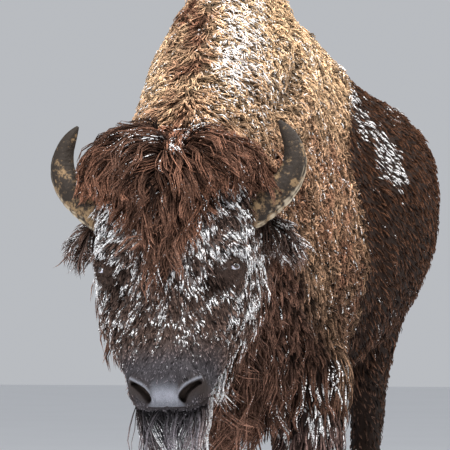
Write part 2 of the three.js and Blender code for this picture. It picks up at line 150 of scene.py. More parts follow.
class BisonStage(bpy.types.PropertyGroup):
    """Floor, light and camera."""

    azimuth: AngleProperty(
        name="Azimuth", description="From straight ahead to the bull's left", default=math.radians(14),
    )
    distance: LengthProperty(name="Distance", description="From the camera to the face", default=9.0)
    view: LengthProperty(name="View", description="Width of the view at the face", default=1.035)
    tilt: AngleProperty(name="Tilt", description="How far the camera looks up", default=math.radians(1.1))
    eye_height: LengthProperty(name="Height", description="Camera above the floor", default=0.9)
    floor_size: LengthProperty(name="Floor", description="Side of the floor", default=60)
    floor_colour: ColourProperty(name="Floor colour", description="Pale floor", default=(0.80, 0.81, 0.83))


# ---------------------------------------------------------------- numbers

def ease(low, high, x):
    """0 below low, 1 above high and smooth between them. low may be the greater of the two."""
    t = np.clip((x - low) / (high - low), 0, 1)
    return t * t * (3 - 2 * t)


def swell(middle, width, x):
    """A smooth bump of height 1 round middle."""
    return np.exp(-(((x - middle) / width) ** 2))


def unit(vectors):
    """The same directions with length 1."""
    return vectors / np.maximum(np.linalg.norm(vectors, axis=-1, keepdims=True), 1e-9)


def mixed(a, b, share):
    """From a to b by share."""
    return a + (b - a) * share


WAVES = 7  # how many sine waves a ripple is the sum of
WAVE_PITCH = 2.6  # how fast they run, where features are 1 across
WAVE_PEAK = 3.2  # the sum that counts as 1


def ripple(points, scale, seed):
    """Smooth noise from -1 to 1 at each point, with features about scale across."""
    rng = np.random.default_rng(seed)
    total = np.zeros(len(points))
    for _ in range(WAVES):
        wave = rng.normal(0, 1, 3)
        total += np.sin(points @ wave * (WAVE_PITCH / scale) + rng.uniform(0, 2 * math.pi))
    return np.clip(total / WAVE_PEAK, -1, 1)


def head_matrix():
    """The head's own frame: x to its left, y back from the face, z up from the poll."""
    turn = (
        Matrix.Rotation(HEAD_YAW, 4, "Z")
        @ Matrix.Rotation(HEAD_ROLL, 4, "Y")
        @ Matrix.Rotation(HEAD_PITCH, 4, "X")
    )
    eyes = [box_middle(f"eye_{word}") for word in SIDES]
    return Matrix.Translation((eyes[0] + eyes[1]) / 2 - turn @ EYES_MIDDLE) @ turn


def box_middle(node):
    low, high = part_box(node)
    return (low + high) / 2


HEAD = head_matrix()
HEAD_TURN = np.array(HEAD.to_3x3())
HEAD_ORIGIN = np.array(HEAD.translation)


def to_head(points):
    """World points in the head's own frame."""
    return (points - HEAD_ORIGIN) @ HEAD_TURN


def from_head(directions):
    """Directions in the head's own frame, turned to the world."""
    return np.asarray(directions) @ HEAD_TURN.T


def face_measures(local):
    """Out from the midline, back from the face and down from the poll, in the head's own frame."""
    return np.abs(local[:, 0]), local[:, 1], -local[:, 2]


def along_line(points, line):
    """Each point's distance from a line of points, and the share of its length where it is nearest."""
    steps = np.linalg.norm(np.diff(line, axis=0), axis=1)
    start = np.concatenate([[0], np.cumsum(steps)]) / steps.sum()
    best = np.full(len(points), 1e9)
    share = np.zeros(len(points))
    for a, b, s0, s1 in zip(line[:-1], line[1:], start[:-1], start[1:]):
        t = np.clip(((points - a) @ (b - a)) / ((b - a) @ (b - a)), 0, 1)
        away = np.linalg.norm(points - (a + t[:, None] * (b - a)), axis=1)
        nearer = away < best
        best = np.where(nearer, away, best)
        share = np.where(nearer, s0 + t * (s1 - s0), share)
    return best, share


# ---------------------------------------------------------------- meshes

def read(items, what, width, kind=float):
    """One property of every item, as the rows of an array."""
    values = np.empty(len(items) * width, kind)
    items.foreach_get(what, values)
    return values.reshape(-1, width)


def positions(mesh):
    return read(mesh.vertices, "co", 3)


def normals(mesh):
    return read(mesh.vertices, "normal", 3)


def set_positions(mesh, co):
    """Moves the mesh's vertices, and works out its normals again."""
    mesh.vertices.foreach_set("co", np.asarray(co, np.float32).ravel())
    mesh.update()


def spread(values, ends, times):
    """Averages values over the mesh's edges, times times."""
    values = np.asarray(values, float)
    flat = values.reshape(len(values), -1)
    count = np.bincount(ends.ravel(), minlength=len(flat))[:, None]
    for _ in range(times):
        total = np.stack([
            np.bincount(ends[:, 0], column[ends[:, 1]], len(flat))
            + np.bincount(ends[:, 1], column[ends[:, 0]], len(flat))
            for column in flat.T
        ], 1)
        flat = mixed(flat, total / np.maximum(count, 1), 0.5)
    return flat.reshape(values.shape)


def write_marks(mesh, marks):
    for name, values in marks.items():
        layer = mesh.attributes.new(name, "FLOAT", "POINT")
        layer.data.foreach_set("value", np.asarray(values, np.float32))


def linked(name, data):
    made = bpy.data.objects.new(name, data)
    bpy.context.scene.collection.objects.link(made)
    return made


def mesh_of(bm):
    """Turns a bmesh into a mesh and frees it."""
    mesh = bpy.data.meshes.new("shape")
    bm.to_mesh(mesh)
    bm.free()
    return mesh


def node_copy(node):
    """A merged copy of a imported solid, as a bmesh."""
    bm = bmesh.new()
    bm.from_mesh(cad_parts[node].data)
    bmesh.ops.remove_doubles(bm, verts=bm.verts, dist=1e-5)
    bm.normal_update()
    return bm


def with_modifier(mesh, kind, **settings):
    """The mesh with one modifier applied, as a new mesh."""
    holder = linked("holder", mesh)
    modifier = holder.modifiers.new("shape", kind)
    for name, value in settings.items():
        setattr(modifier, name, value)
    graph = bpy.context.evaluated_depsgraph_get()
    made = bpy.data.meshes.new_from_object(holder.evaluated_get(graph))
    bpy.data.objects.remove(holder)
    return made


def finished(name, mesh, finish, replaced=()):
    """Puts a made mesh in the scene as a smooth piece of the bull, in the material called finish."""
    mesh.name = name
    mesh.polygons.foreach_set("use_smooth", np.ones(len(mesh.polygons), bool))
    mesh.update()
    mesh.materials.clear()
    mesh.materials.append(material(finish))
    piece = linked(name, mesh)
    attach(piece, BODY)
    if replaced:
        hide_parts(*replaced)
    return piece


# ---------------------------------------------------------------- shader maths

class Wire:
    """A socket of a material. Arithmetic on it adds the nodes that work it out."""

    def __init__(self, tree, socket=None):
        self.tree = tree
        self.socket = socket

    def node(self, kind, settings=None, inputs=None, output=0):
        """Adds a node of any kind, sets it up first, then feeds its sockets, and wraps one output."""
        made = self.tree.nodes.new(kind)
        for name, value in (settings or {}).items():
            setattr(made, name, value)
        for name, value in (inputs or {}).items():
            if isinstance(value, Wire):
                self.tree.links.new(value.socket, made.inputs[name])
            else:
                made.inputs[name].default_value = value
        return Wire(self.tree, made.outputs[output] if len(made.outputs) else None)

    def is_value(self):
        return self.socket.type == "VALUE"

    def maths(self, operation, *terms):
        if all(t.is_value() if isinstance(t, Wire) else not isinstance(t, tuple) for t in terms):
            kind = "ShaderNodeMath"
        else:
            kind = "ShaderNodeVectorMath"
            terms = [t if isinstance(t, (Wire, tuple)) else (t, t, t) for t in terms]
        return self.node(kind, {"operation": operation}, dict(enumerate(terms)))

    def __add__(self, other):
        return self.maths("ADD", self, other)

    def __radd__(self, other):
        return self.maths("ADD", other, self)

    def __sub__(self, other):
        return self.maths("SUBTRACT", self, other)

    def __rsub__(self, other):
        return self.maths("SUBTRACT", other, self)

    def __mul__(self, other):
        return self.maths("MULTIPLY", self, other)

    def __rmul__(self, other):
        return self.maths("MULTIPLY", other, self)

    def between(self, low, high):
        """0 where this value is low, 1 where it is high, and smooth between them."""
        inputs = {"Value": self, "From Min": low, "From Max": high}
        return self.node("ShaderNodeMapRange", {"interpolation_type": "SMOOTHSTEP"}, inputs)

    def blend(self, other, share):
        """From this colour to another by share."""
        other = other if isinstance(other, Wire) else (*other, 1)
        return self.node("ShaderNodeMix", {"data_type": "RGBA"}, {0: share, 6: self, 7: other}, 2)

    def mark(self, name):
        """An attribute of the mesh."""
        return self.node("ShaderNodeAttribute", {"attribute_name": name}, output=2)

    def noise(self, vector, scale, detail=3.0, roughness=0.5):
        inputs = {"Vector": vector, "Scale": scale, "Detail": detail, "Roughness": roughness}
        return self.node("ShaderNodeTexNoise", None, inputs)

    def object_place(self):
        return self.node("ShaderNodeTexCoord", output=3)

    def stretched(self, vector, *scale):
        return self.node("ShaderNodeMapping", {"vector_type": "POINT"}, {"Vector": vector, "Scale": scale})

    def bump(self, height, strength, distance):
        inputs = {"Height": height, "Strength": strength, "Distance": distance}
        return self.node("ShaderNodeBump", None, inputs)


def tint(name):
    return tuple(getattr(bpy.context.scene.bison_colours, name))


def coat_colour(wire):
    """The colour that skin and hair share, from the marks on the mesh."""
    colour = (*tint("body"), 1)
    layers = {"face": "face", "grey": "muzzle", "tan": "cape", "rust": "rust", "dark": "dark"}
    for mark, name in layers.items():
        inputs = {0: wire.mark(mark), 6: colour, 7: (*tint(name), 1)}
        colour = wire.node("ShaderNodeMix", {"data_type": "RGBA"}, inputs, 2)
    return colour


def hair_surface(wire):
    """Strands darker toward the root, partly their own colour and partly painted shade between the tufts,
    streaked, and white where snow lies.
    """
    tip, shade = wire.mark("tip"), wire.mark("shade")
    strand = wire.node("ShaderNodeUVMap", {"uv_map": "Strand"})
    streak = wire.noise(wire.stretched(strand, 5.0, 0.7, 1.0), 3.0, 2.0)
    place = wire.object_place()
    speckle = wire.noise(place, 230.0, 3.0, 0.65).between(0.28, 0.72)
    # darker toward the root: partly the hair's own colour, partly painted shade in the gaps between tufts
    bright = (0.05 + 0.60 * tip + 0.85 * tip * tip) * (0.15 + 1.8 * shade) * (0.55 + 0.9 * streak)
    # paler where grey: partly the frosted grey of beard and muzzle hair, partly painted light in the shade
    # under the head
    bright = bright * (0.30 + 1.4 * speckle) * (1.0 + 0.9 * wire.mark("grey")) + 0.03 * wire.mark("tan")
    flakes = wire.noise(place, 250.0, 2.0).between(0.28, 0.72)
    frost = (wire.mark("snow") + flakes).between(1.0, 1.12) * tip.between(0.10, 0.50)
    colour = (coat_colour(wire) * bright).blend(tint("frost"), frost)
    return {"Base Color": colour, "Roughness": 0.85 - 0.2 * streak, "Normal": wire.bump(streak, 0.5, 0.003)}


def hide_surface(wire):
    """Skin under the coat in the coat's colours, darkened by painted shade where the hair covers it, and
    bare pebbled skin on the nose with painted highlights and painted shade in its hollows.
    """
    place = wire.object_place()
    drawn = wire.stretched(place, 1.0, 1.0, 0.28)
    fine = wire.noise(drawn, 260.0, 3.0)
    clumps = wire.noise(drawn, 60.0, 2.0)
    bare, under = wire.mark("bare"), wire.mark("under")
    grain = wire.noise(place, 210.0, 2.0, 0.6).between(0.28, 0.72)
    patch = wire.noise(place, 48.0, 1.0).between(0.30, 0.70)
    frost = 0.105 * (wire.mark("snow") + 0.6 * grain + 0.4 * patch).between(0.95, 1.25) * (1.0 - under)
    # painted shade: skin under the coat is darkened where the hair would shade it
    bright = (0.15 + 0.9 * fine) * (0.4 + 0.9 * clumps) * (1.0 - 0.72 * under)
    colour = (coat_colour(wire) * bright).blend(tint("frost"), frost)
    cells = wire.node(
        "ShaderNodeTexVoronoi", {"feature": "DISTANCE_TO_EDGE"}, {"Vector": place, "Scale": 330.0},
    )
    pebbles = cells.between(0.0, 0.25)
    # painted highlight down the middle of the nose pad and along the rims over the nostrils
    nose = tint("nose") * (0.30 + 0.75 * pebbles * wire.noise(place, 60.0) + 0.8 * wire.mark("sheen"))
    # bare skin of the nose, then painted shade in nostrils, mouth and along the lids' slit
    colour = colour.blend(nose, bare).blend((0.028, 0.020, 0.017), wire.mark("hollow"))
    relief = fine * (1.0 - bare) + 0.35 * pebbles * bare
    return {"Base Color": colour, "Roughness": 0.85 - 0.40 * bare, "Normal": wire.bump(relief, 0.8, 0.003)}


def horn_surface(wire):
    """Weathered horn with black scales, a pale worn outer rim and rings near the root."""
    along, rim = wire.mark("along"), wire.mark("rim")
    place = wire.object_place()
    patches = wire.noise(place, 34.0, 5.0, 0.65)
    flakes = wire.noise(place, 120.0, 4.0, 0.7)
    dark = (patches + 0.50 * flakes + 0.22 * along).between(0.72, 0.88) * (1.0 - 0.6 * rim)
    worn = rim * (patches + 0.25 * flakes).between(0.42, 0.66) * (1.0 - along.between(0.62, 0.95))
    colour = tint("horn") * (0.45 + 1.1 * flakes)
    colour = colour.blend(tint("horn_dark"), dark).blend(tint("horn_pale"), worn)
    lines = wire.node(
        "ShaderNodeTexWave", {"wave_type": "BANDS", "bands_direction": "X"},
        {"Vector": wire.node("ShaderNodeCombineXYZ", None, {"X": along, "Y": patches * 0.1, "Z": 0.0}),
         "Scale": 9.0, "Distortion": 3.0, "Detail": 3.0},
        1,
    )
    relief = 0.7 * flakes + 0.5 * patches + 0.25 * lines * (1.0 - along)
    return {"Base Color": colour, "Roughness": 0.55 + 0.35 * flakes, "Normal": wire.bump(relief, 0.9, 0.004)}


def hoof_surface(wire):
    """Dull horn with level growth bands."""
    place = wire.object_place()
    bands = wire.noise(wire.stretched(place, 0.25, 0.25, 3.0), 60.0, 4.0, 0.6)
    grain = wire.noise(place, 190.0, 3.0)
    colour = tint("hoof") * (0.45 + 1.0 * bands + 0.3 * grain)
    normal = wire.bump(bands + 0.3 * grain, 0.6, 0.003)
    return {"Base Color": colour, "Roughness": 0.45 + 0.3 * grain, "Normal": normal}


def eye_surface(wire):
    """Brown iris with a level pupil, a painted reflection of the snow on its lower part and painted shade
    where the lids meet the eyeball.
    """
    ring = wire.mark("ring")
    fibres = wire.noise(wire.object_place(), 300.0, 3.0)
    colour = (0.045, 0.022, 0.013) * (0.5 + fibres)
    colour = colour.blend((0.003, 0.003, 0.004), 1.0 - wire.mark("pupil").between(0.9, 1.1))
    # painted reflection: pale bluish light of the snow on the eye's lower part
    snow_reflection = (0.72, 0.72, 0.84) * (0.75 + 0.5 * fibres)
    colour = colour.blend(snow_reflection, ring.between(0.46, 0.56) * wire.mark("level").between(0.20, -0.05))
    # painted shade where the lids meet the eyeball
    return {"Base Color": colour.blend((0.02, 0.013, 0.011), ring.between(0.86, 0.98))}


def floor_surface(wire):
    """A pale floor with the faintest clouds."""
    colour = tuple(bpy.context.scene.bison_stage.floor_colour)
    return {"Base Color": colour * (0.97 + 0.06 * wire.noise(wire.object_place(), 1.5, 2.0))}


# What each material's pattern is, and the inputs that are the same all over it.
MATERIALS = {
    "Coat hair": (hair_surface, {"Specular IOR Level": 0.04}),
    "Hide": (hide_surface, {"Specular IOR Level": 0.10}),
    "Horn": (horn_surface, {"Specular IOR Level": 0.22}),
    "Hoof horn": (hoof_surface, {"Specular IOR Level": 0.4}),
    "Eye": (eye_surface, {"Roughness": 0.09, "Specular IOR Level": 0.6, "Coat Weight": 1.0,
                          "Coat Roughness": 0.03}),
    "Floor": (floor_surface, {"Roughness": 0.85}),
}


def material(name):
    """The material of this name, made when it is first asked for."""
    if name in bpy.data.materials:
        return bpy.data.materials[name]
    pattern, plain = MATERIALS[name]
    made = bpy.data.materials.new(name)
    made.use_nodes = True
    made.node_tree.nodes.clear()
    wire = Wire(made.node_tree)
    shader = wire.node("ShaderNodeBsdfPrincipled", None, {**plain, **pattern(wire)})
    wire.node("ShaderNodeOutputMaterial", None, {"Surface": shader})
    return made


# ---------------------------------------------------------------- skin

def both(*names):
    """Each name with left and with right."""
    return [f"{name}_{word}" for name in names for word in SIDES]


FLESH = [
    "head", "neck", "forequarters", "barrel", "hindquarters", "tail", *both("ear", "fore_leg", "hind_leg"),
]
HAIR_MASSES = ["forelock", "beard", "tail_tuft"]
CLAWS = ("outer", "inner")
HOOVES = [f"{hoof}_{claw}" for hoof in both("fore_hoof", "hind_hoof") for claw in CLAWS]
OVERLAP = 0.0007  # how far each solid is blown up, to close the thin cuts between them
VOXEL = 0.014
HOOF_PLUG = 0.052  # height over its sole above which a hoof is part of what the skin is made from

# How far the skin lies inside each solid. skin_depth works out the forelock's and the legs'.
SKIN_DEPTH = {
    "head": 0.009, "beard": 0.040, "neck": 0.036, "forequarters": 0.034, "barrel": 0.017,
    "hindquarters": 0.016, "tail": 0.005, "tail_tuft": 0.020, "ear_left": 0.004, "ear_right": 0.004,
    "eye_left": 0.0, "eye_right": 0.0,
}
PLUG_DEPTH = 0.007  # horns and hooves


def cut_copy(node, point, away):
    """A copy of a solid without what lies beyond a plane, closed again."""
    bm = node_copy(node)
    bmesh.ops.bisect_plane(
        bm, geom=bm.verts[:] + bm.edges[:] + bm.faces[:], plane_co=point, plane_no=away, clear_outer=True,
    )
    bmesh.ops.holes_fill(bm, edges=[e for e in bm.edges if e.is_boundary], sides=0)
    bm.normal_update()
    return bm


def joined_solids():
    """Every solid of flesh and hair and the roots of horns and hooves, blown up so that they touch."""
    whole = bmesh.new()
    horn_root = HORN_LINE[1] * 0.35 + HORN_LINE[2] * 0.65
    for node in FLESH + HAIR_MASSES + both("eye"):
        add_blown_up(whole, node_copy(node))
    for word, side in SIDES.items():
        place = HEAD @ Vector(horn_root * (side, 1, 1))
        away = HEAD.to_3x3() @ Vector((side, 0, 0.6))
        add_blown_up(whole, cut_copy(f"horn_{word}", place, away))
    for node in HOOVES:
        low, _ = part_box(node)
        add_blown_up(whole, cut_copy(node, Vector((0, 0, low.z + HOOF_PLUG)), Vector((0, 0, -1))))
    return mesh_of(whole)


def add_blown_up(whole, bm):
    """Adds one solid, grown by the overlap, to the whole."""
    for vert in bm.verts:
        vert.co += vert.normal * OVERLAP
    part = mesh_of(bm)
    whole.from_mesh(part)
    bpy.data.meshes.remove(part)


def keep_outer_shell(bm):
    """Removes bubbles that the remesh leaves inside the body."""
    unseen = set(bm.verts)
    shells = []
    while unseen:
        stack = [unseen.pop()]
        shell = list(stack)
        while stack:
            for edge in stack.pop().link_edges:
                for other in edge.verts:
                    if other in unseen:
                        unseen.discard(other)
                        stack.append(other)
                        shell.append(other)
        shells.append(shell)
    shells.sort(key=len)
    for shell in shells[:-1]:
        bmesh.ops.delete(bm, geom=shell, context="VERTS")


def refine(bm, wanted):
    """Cuts every edge in two where wanted(points) is true at both ends."""
    bm.verts.ensure_lookup_table()
    bm.verts.index_update()
    chosen = wanted(np.array([v.co for v in bm.verts]))
    edges = [e for e in bm.edges if chosen[e.verts[0].index] and chosen[e.verts[1].index]]
    bmesh.ops.subdivide_edges(bm, edges=edges, cuts=1, use_grid_fill=True)


def lock_room(local):
    """How far inside the forelock's outline each point of the head's own frame is. Under 0 outside it."""
    depth, right, left = FORELOCK_EDGE.T
    at = -local[:, 2]
    return np.minimum(local[:, 0] - np.interp(at, depth, right), np.interp(at, depth, left) - local[:, 0])


def cape_edge(points):
    """The ragged line, further back or forward, along which the tan cape meets the coat of the barrel."""
    z = points[:, 2]
    rear = -0.16 + 0.06 * ease(0.70, 0.95, z) + 0.40 * ease(1.25, 1.68, z)
    return rear + 0.022 * ripple(points, 0.13, 41) + 0.010 * ripple(points, 0.045, 42)


def cape_foot(y):
    """The height under which the cape turns dark, further back or further forward."""
    at = (-1.0, -0.70, -0.55, -0.46, -0.344, -0.27, -0.15)
    return np.interp(y, at, (1.22, 1.08, 1.0, 0.9, 0.78, 0.70, 0.62))


def eye_place(word):
    """The middle of a finished eyeball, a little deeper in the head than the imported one's."""
    return np.array(box_middle(f"eye_{word}")) - eye_axes(SIDES[word])[0] * EYE_SINK


def eye_distance(points):
    """Distance from the middle of the nearer eye."""
    return np.minimum(*[np.linalg.norm(points - eye_place(word), axis=1) for word in SIDES])


def eye_hollow(points):
    """Distance from the ragged hollows round the eyes, darkened with painted shade, which run down towards
    the nose.
    """
    local = to_head(points)
    eyes = np.stack([to_head(eye_place(word)[None])[0] for word in SIDES])
    middle = eyes.mean(0) + (np.abs(eyes[:, 0]).mean(), 0, 0)
    line = np.array([middle + HOLLOW_TOP, middle + HOLLOW_FOOT])
    away, share = along_line(np.column_stack([np.abs(local[:, 0]), local[:, 1:]]), line)
    return away + 0.010 * share + 0.010 * ripple(points, 0.022, 7)


def seen_distance(local, line):
    """along_line as seen from the front, for a line that both sides of the head have."""
    away, share = along_line(np.abs(local) * (1, 0, -1), line)
    return away + np.clip(local[:, 1] + 0.01, 0, 1), share


def nostril_radius(share):
    """Wide at the inner end and narrow at the outer one."""
    return mixed(0.0105, 0.0050, share)


def on_face(points):
    local = to_head(points)
    side, back, depth = face_measures(local)
    ears = (side > 0.13) & (back > 0.03) & (depth < 0.27) & (depth > 0.05)
    front = (back < 0.13) & (depth > 0.16) & (depth < 0.70)
    return (side < 0.34) & (back > -0.3) & (front | ears)


def on_muzzle(points):
    side, back, depth = face_measures(to_head(points))
    muzzle = (depth > 0.50) & (depth < 0.665) & (back < 0.06)
    return (on_face(points) & muzzle & (side < 0.13)) | (eye_distance(points) < 0.062)


def on_fine_parts(points):
    away, _ = seen_distance(to_head(points), NOSTRIL_LINE)
    return (eye_distance(points) < 0.034) | (away < 0.028)


def node_labels(points):
    """For each point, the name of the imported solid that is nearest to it."""
    names = sorted(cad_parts)
    verts, faces, owner = [], [], []
    for name in names:
        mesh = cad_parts[name].data
        start = len(verts)
        verts.extend(v.co.copy() for v in mesh.vertices)
        faces.extend([start + i for i in polygon.vertices] for polygon in mesh.polygons)
        owner.extend([name] * len(mesh.polygons))
    tree = BVHTree.FromPolygons(verts, faces)
    return np.array([owner[tree.find_nearest(point)[2]] for point in points])


# The solids that make up each group, and how often the border of its mark is smoothed.
GROUPS = {
    "in_head": (["head", *both("eye")], 3), "in_lock": (["forelock"], 3), "in_beard": (["beard"], 2),
    "in_ear": (both("ear"), 1), "in_tail": (["tail"], 8), "in_switch": (["tail_tuft"], 8),
    "in_horn": (both("horn"), 0), "in_hoof": (HOOVES, 0), "in_foreleg": (both("fore_leg"), 8),
    "in_hindleg": (both("hind_leg"), 8),
}


def memberships(labels, points, ends):
    """How much each vertex belongs to each group of solids, from 0 to 1, smooth over the mesh."""
    found = {
        group: spread(np.isin(labels, nodes), ends, times) for group, (nodes, times) in GROUPS.items()
    }
    outside = 1 - ease(-0.014, 0.006, lock_room(to_head(points)))
    found["in_head"] = np.clip(found["in_head"] + found["in_lock"] * outside, 0, 1)
    found["in_lock"] = found["in_lock"] * (1 - outside)
    return found


def skin_depth(labels, points, ends):
    """How far the skin lies under the tips of the coat."""
    base = np.array([SKIN_DEPTH.get(name, PLUG_DEPTH) for name in labels])
    z, y = points[:, 2], points[:, 1]
    chest = ease(1.15, 0.85, z) * ease(SHOULDER_Y + 0.12, SHOULDER_Y - 0.15, y)
    base = base + np.isin(labels, ["neck", "forequarters"]) * chest * 0.020
    foreleg = mixed(0.006, 0.034, ease(0.36, 0.58, z))
    base = np.where(np.isin(labels, both("fore_leg")), foreleg, base)
    hindleg = mixed(0.006, 0.016, ease(0.4, 0.8, z))
    base = np.where(np.isin(labels, both("hind_leg")), hindleg, base)
    local = to_head(points)
    lock = mixed(0.046, 0.028, ease(-0.03, 0.01, lock_room(local)))
    base = np.where(labels == "forelock", lock, base)
    muzzle = ease(-0.44, -0.54, local[:, 2]) * ease(0.08, 0.0, local[:, 1])
    eyes = eye_distance(points)
    base = mixed(0.001, base, ease(0.030, 0.080, eyes))
    head = mixed(base + 0.012 * ease(0.0, 0.2, local[:, 1]), 0.003, muzzle)
    return spread(np.where((labels == "head") & (eyes > 0.08), head, base), ends, 8)


# How far each part of the face is raised, then its place and size down the face, and out from the midline.
FACE_RELIEF = {
    "brow": (0.012, 0.262, 0.026, 0.132, 0.040), "tear hollow": (-0.010, 0.365, 0.040, 0.104, 0.030),
    "nasal bones": (0.006, 0.46, 0.08, 0, 0.040), "beside the nose": (-0.005, 0.50, 0.05, 0.085, 0.022),
}


def sculpt_face(local, facing):
    """Gives the head's skin brows, tear hollows, nasal bones, nostrils and lips, in its own frame."""
    side, back, depth = face_measures(local)
    front = ease(0.05, -0.02, back)
    out = np.zeros(len(local))
    for height, down, tall, across, wide in FACE_RELIEF.values():
        out += height * front * swell(down, tall, depth) * swell(across, wide, side)
    out += 0.004 * ease(0.16, 0.02, back) * swell(0.43, 0.05, depth) * swell(0.158, 0.03, side)  # cheek
    away, share = seen_distance(local, NOSTRIL_LINE)
    muzzle = ease(0.50, 0.54, depth) * ease(0.03, -0.01, back)
    rim, _ = seen_distance(local, RIM_LINE)
    out += 0.0045 * swell(0, 0.0038, rim)  # the raised rim over a nostril
    out += 0.006 * muzzle * swell(0.575, 0.022, depth) * swell(0.062, 0.035, side)  # fleshy wing over it
    out -= 0.004 * muzzle * swell(0.535, 0.016, depth) * ease(0.11, 0.07, side)  # step up to the face
    out -= 0.0025 * muzzle * swell(0, 0.004, side) * ease(0.600, 0.612, depth)  # groove down the nose
    lip = lip_distance(local)
    mouth = mouth_share(back, depth)
    out -= 0.010 * mouth * swell(0, 0.0034, lip)
    out += 0.004 * mouth * swell(0.012, 0.007, lip)  # upper lip
    out += 0.004 * mouth * swell(-0.012, 0.008, lip)  # lower lip
    hole = 0.026 * (1 - ease(0.45, 1.0, away / nostril_radius(share)))
    inward = np.where(local[:, :1] > 0, (-0.25, 0.93, 0.28), (0.25, 0.93, 0.28))
    return local + facing * out[:, None] + inward * hole[:, None]


def lip_distance(local):
    """Signed distance from the plane between the lips, above it on the upper lip."""
    return (local[:, 2] - LIP_UP) * math.cos(LIP_ANGLE) - (local[:, 1] - LIP_BACK) * math.sin(LIP_ANGLE)


def mouth_share(back, depth):
    """1 where the lips part, and 0 away from the muzzle."""
    return ease(0.075, 0.045, back) * ease(0.50, 0.54, depth)


def fold_relief(points, groups):
    """The crease that runs from the hump down between neck and shoulder."""
    away, strength = fold_distance(points, groups)
    return strength * (0.010 * swell(0.065, 0.03, away) - 0.020 * swell(0, 0.026, away))


def fold_distance(points, groups):
    """Distance from the crease's line, and how strong the crease is."""
    away, share = along_line(points * (0, 1, 1), FOLD_LINE)
    trunk = 1 - np.clip(groups["in_head"] + groups["in_lock"] + groups["in_ear"], 0, 1)
    sides = np.where(points[:, 0] > 0, 1.0, 0.35)  # the right side has only a hint of it
    return away, trunk * sides * ease(0.05, 0.09, np.abs(points[:, 0])) * ease(1.0, 0.75, share)


EYEBALL = 0.0195
CORNEA = 0.0012  # how far the cornea stands proud
EYE_SINK = 0.004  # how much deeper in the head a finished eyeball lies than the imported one
IRIS_RISE = 0.0022  # how far above the slit's line the iris sits
PUPIL = (0.0062, 0.0034)  # half-width and half-height
# The ends of the hollow round an eye, darkened with painted shade, from the eye's middle, in the head's own
# frame.
HOLLOW_TOP, HOLLOW_FOOT = (0.004, 0, 0.004), (-0.034, -0.02, -0.046)
IRIS_EDGE = 0.0165  # radius, seen from ahead, at which the marks ring and level are 1
LID = 0.0222  # radius of the lids over the eyeball
EYE_SLIT = (0.0150, 0.0082)  # half-width and half-height of the opening
EYE_TILT = math.radians(27)  # the inner corner lies lower


def eye_axes(side):
    """Out of the eye, along the slit towards its outer corner, and up, in the world."""
    out = unit(np.array((side * 0.72, -0.70, 0.02)))
    along = unit(np.cross((0.0, 0.0, 1.0), out) * side)
    up = np.cross(along, out) * -side
    up = up * np.sign(up[2])
    slit = along * math.cos(EYE_TILT) + up * math.sin(EYE_TILT)
    rise = up * math.cos(EYE_TILT) - along * math.sin(EYE_TILT)
    return from_head(out), from_head(slit), from_head(rise)


def eye_bed(points, word, side):
    """Each point in one eye's frame: along the slit, up and out."""
    out, slit, rise = eye_axes(side)
    away = points - eye_place(word)
    return away @ slit, away @ rise, away @ out


def slit_measure(across, rise):
    """Under 1 inside the opening between the lids, which comes to a point at both corners."""
    half = EYE_SLIT[1] * np.sqrt(np.clip(1 - (across / (EYE_SLIT[0] * 1.12)) ** 2, 0.02, 1))
    return np.maximum(np.abs(rise - 0.0012) / half, np.abs(across) / EYE_SLIT[0])


def sculpt_eyes(points):
    """Wraps lids round both eyeballs, with a crease above and wrinkles below."""
    moved = points.copy()
    for word, side in SIDES.items():
        across, rise, out = eye_bed(points, word, side)
        away = np.hypot(across, rise)
        near = (away < 0.06) & (out > -0.02)
        share = (1 - ease(0.016, 0.050, away)) * near
        lid = LID * np.sqrt(np.clip(1 - (away / (1.45 * LID)) ** 2, 0.05, 1))
        opening = slit_measure(across, rise)
        lid = lid + np.where(rise > 0, 0.0022 * swell(1.5, 0.45, opening), 0.0012 * swell(1.5, 0.4, opening))
        crease = swell(2.6, 0.35, opening) * (rise > 0) * ease(0.03, 0.02, away)
        wrinkle = np.sin((away - 0.018) / 0.0085 * 2 * math.pi) * (rise < 0) * ease(0.050, 0.03, away)
        lid = lid - 0.002 * crease + 0.0012 * wrinkle * ease(0.014, 0.02, away)
        aim = np.where(near & (opening < 1.0), 0.004, mixed(out, lid, share))
        moved += ((aim - out) * near)[:, None] * eye_axes(side)[0]
    return moved


def on_chest(y, z):
    """1 on the chest between and before the forelegs, and 0 higher up and further back."""
    return ease(1.15, 0.92, z) * ease(-0.25, -0.45, y)


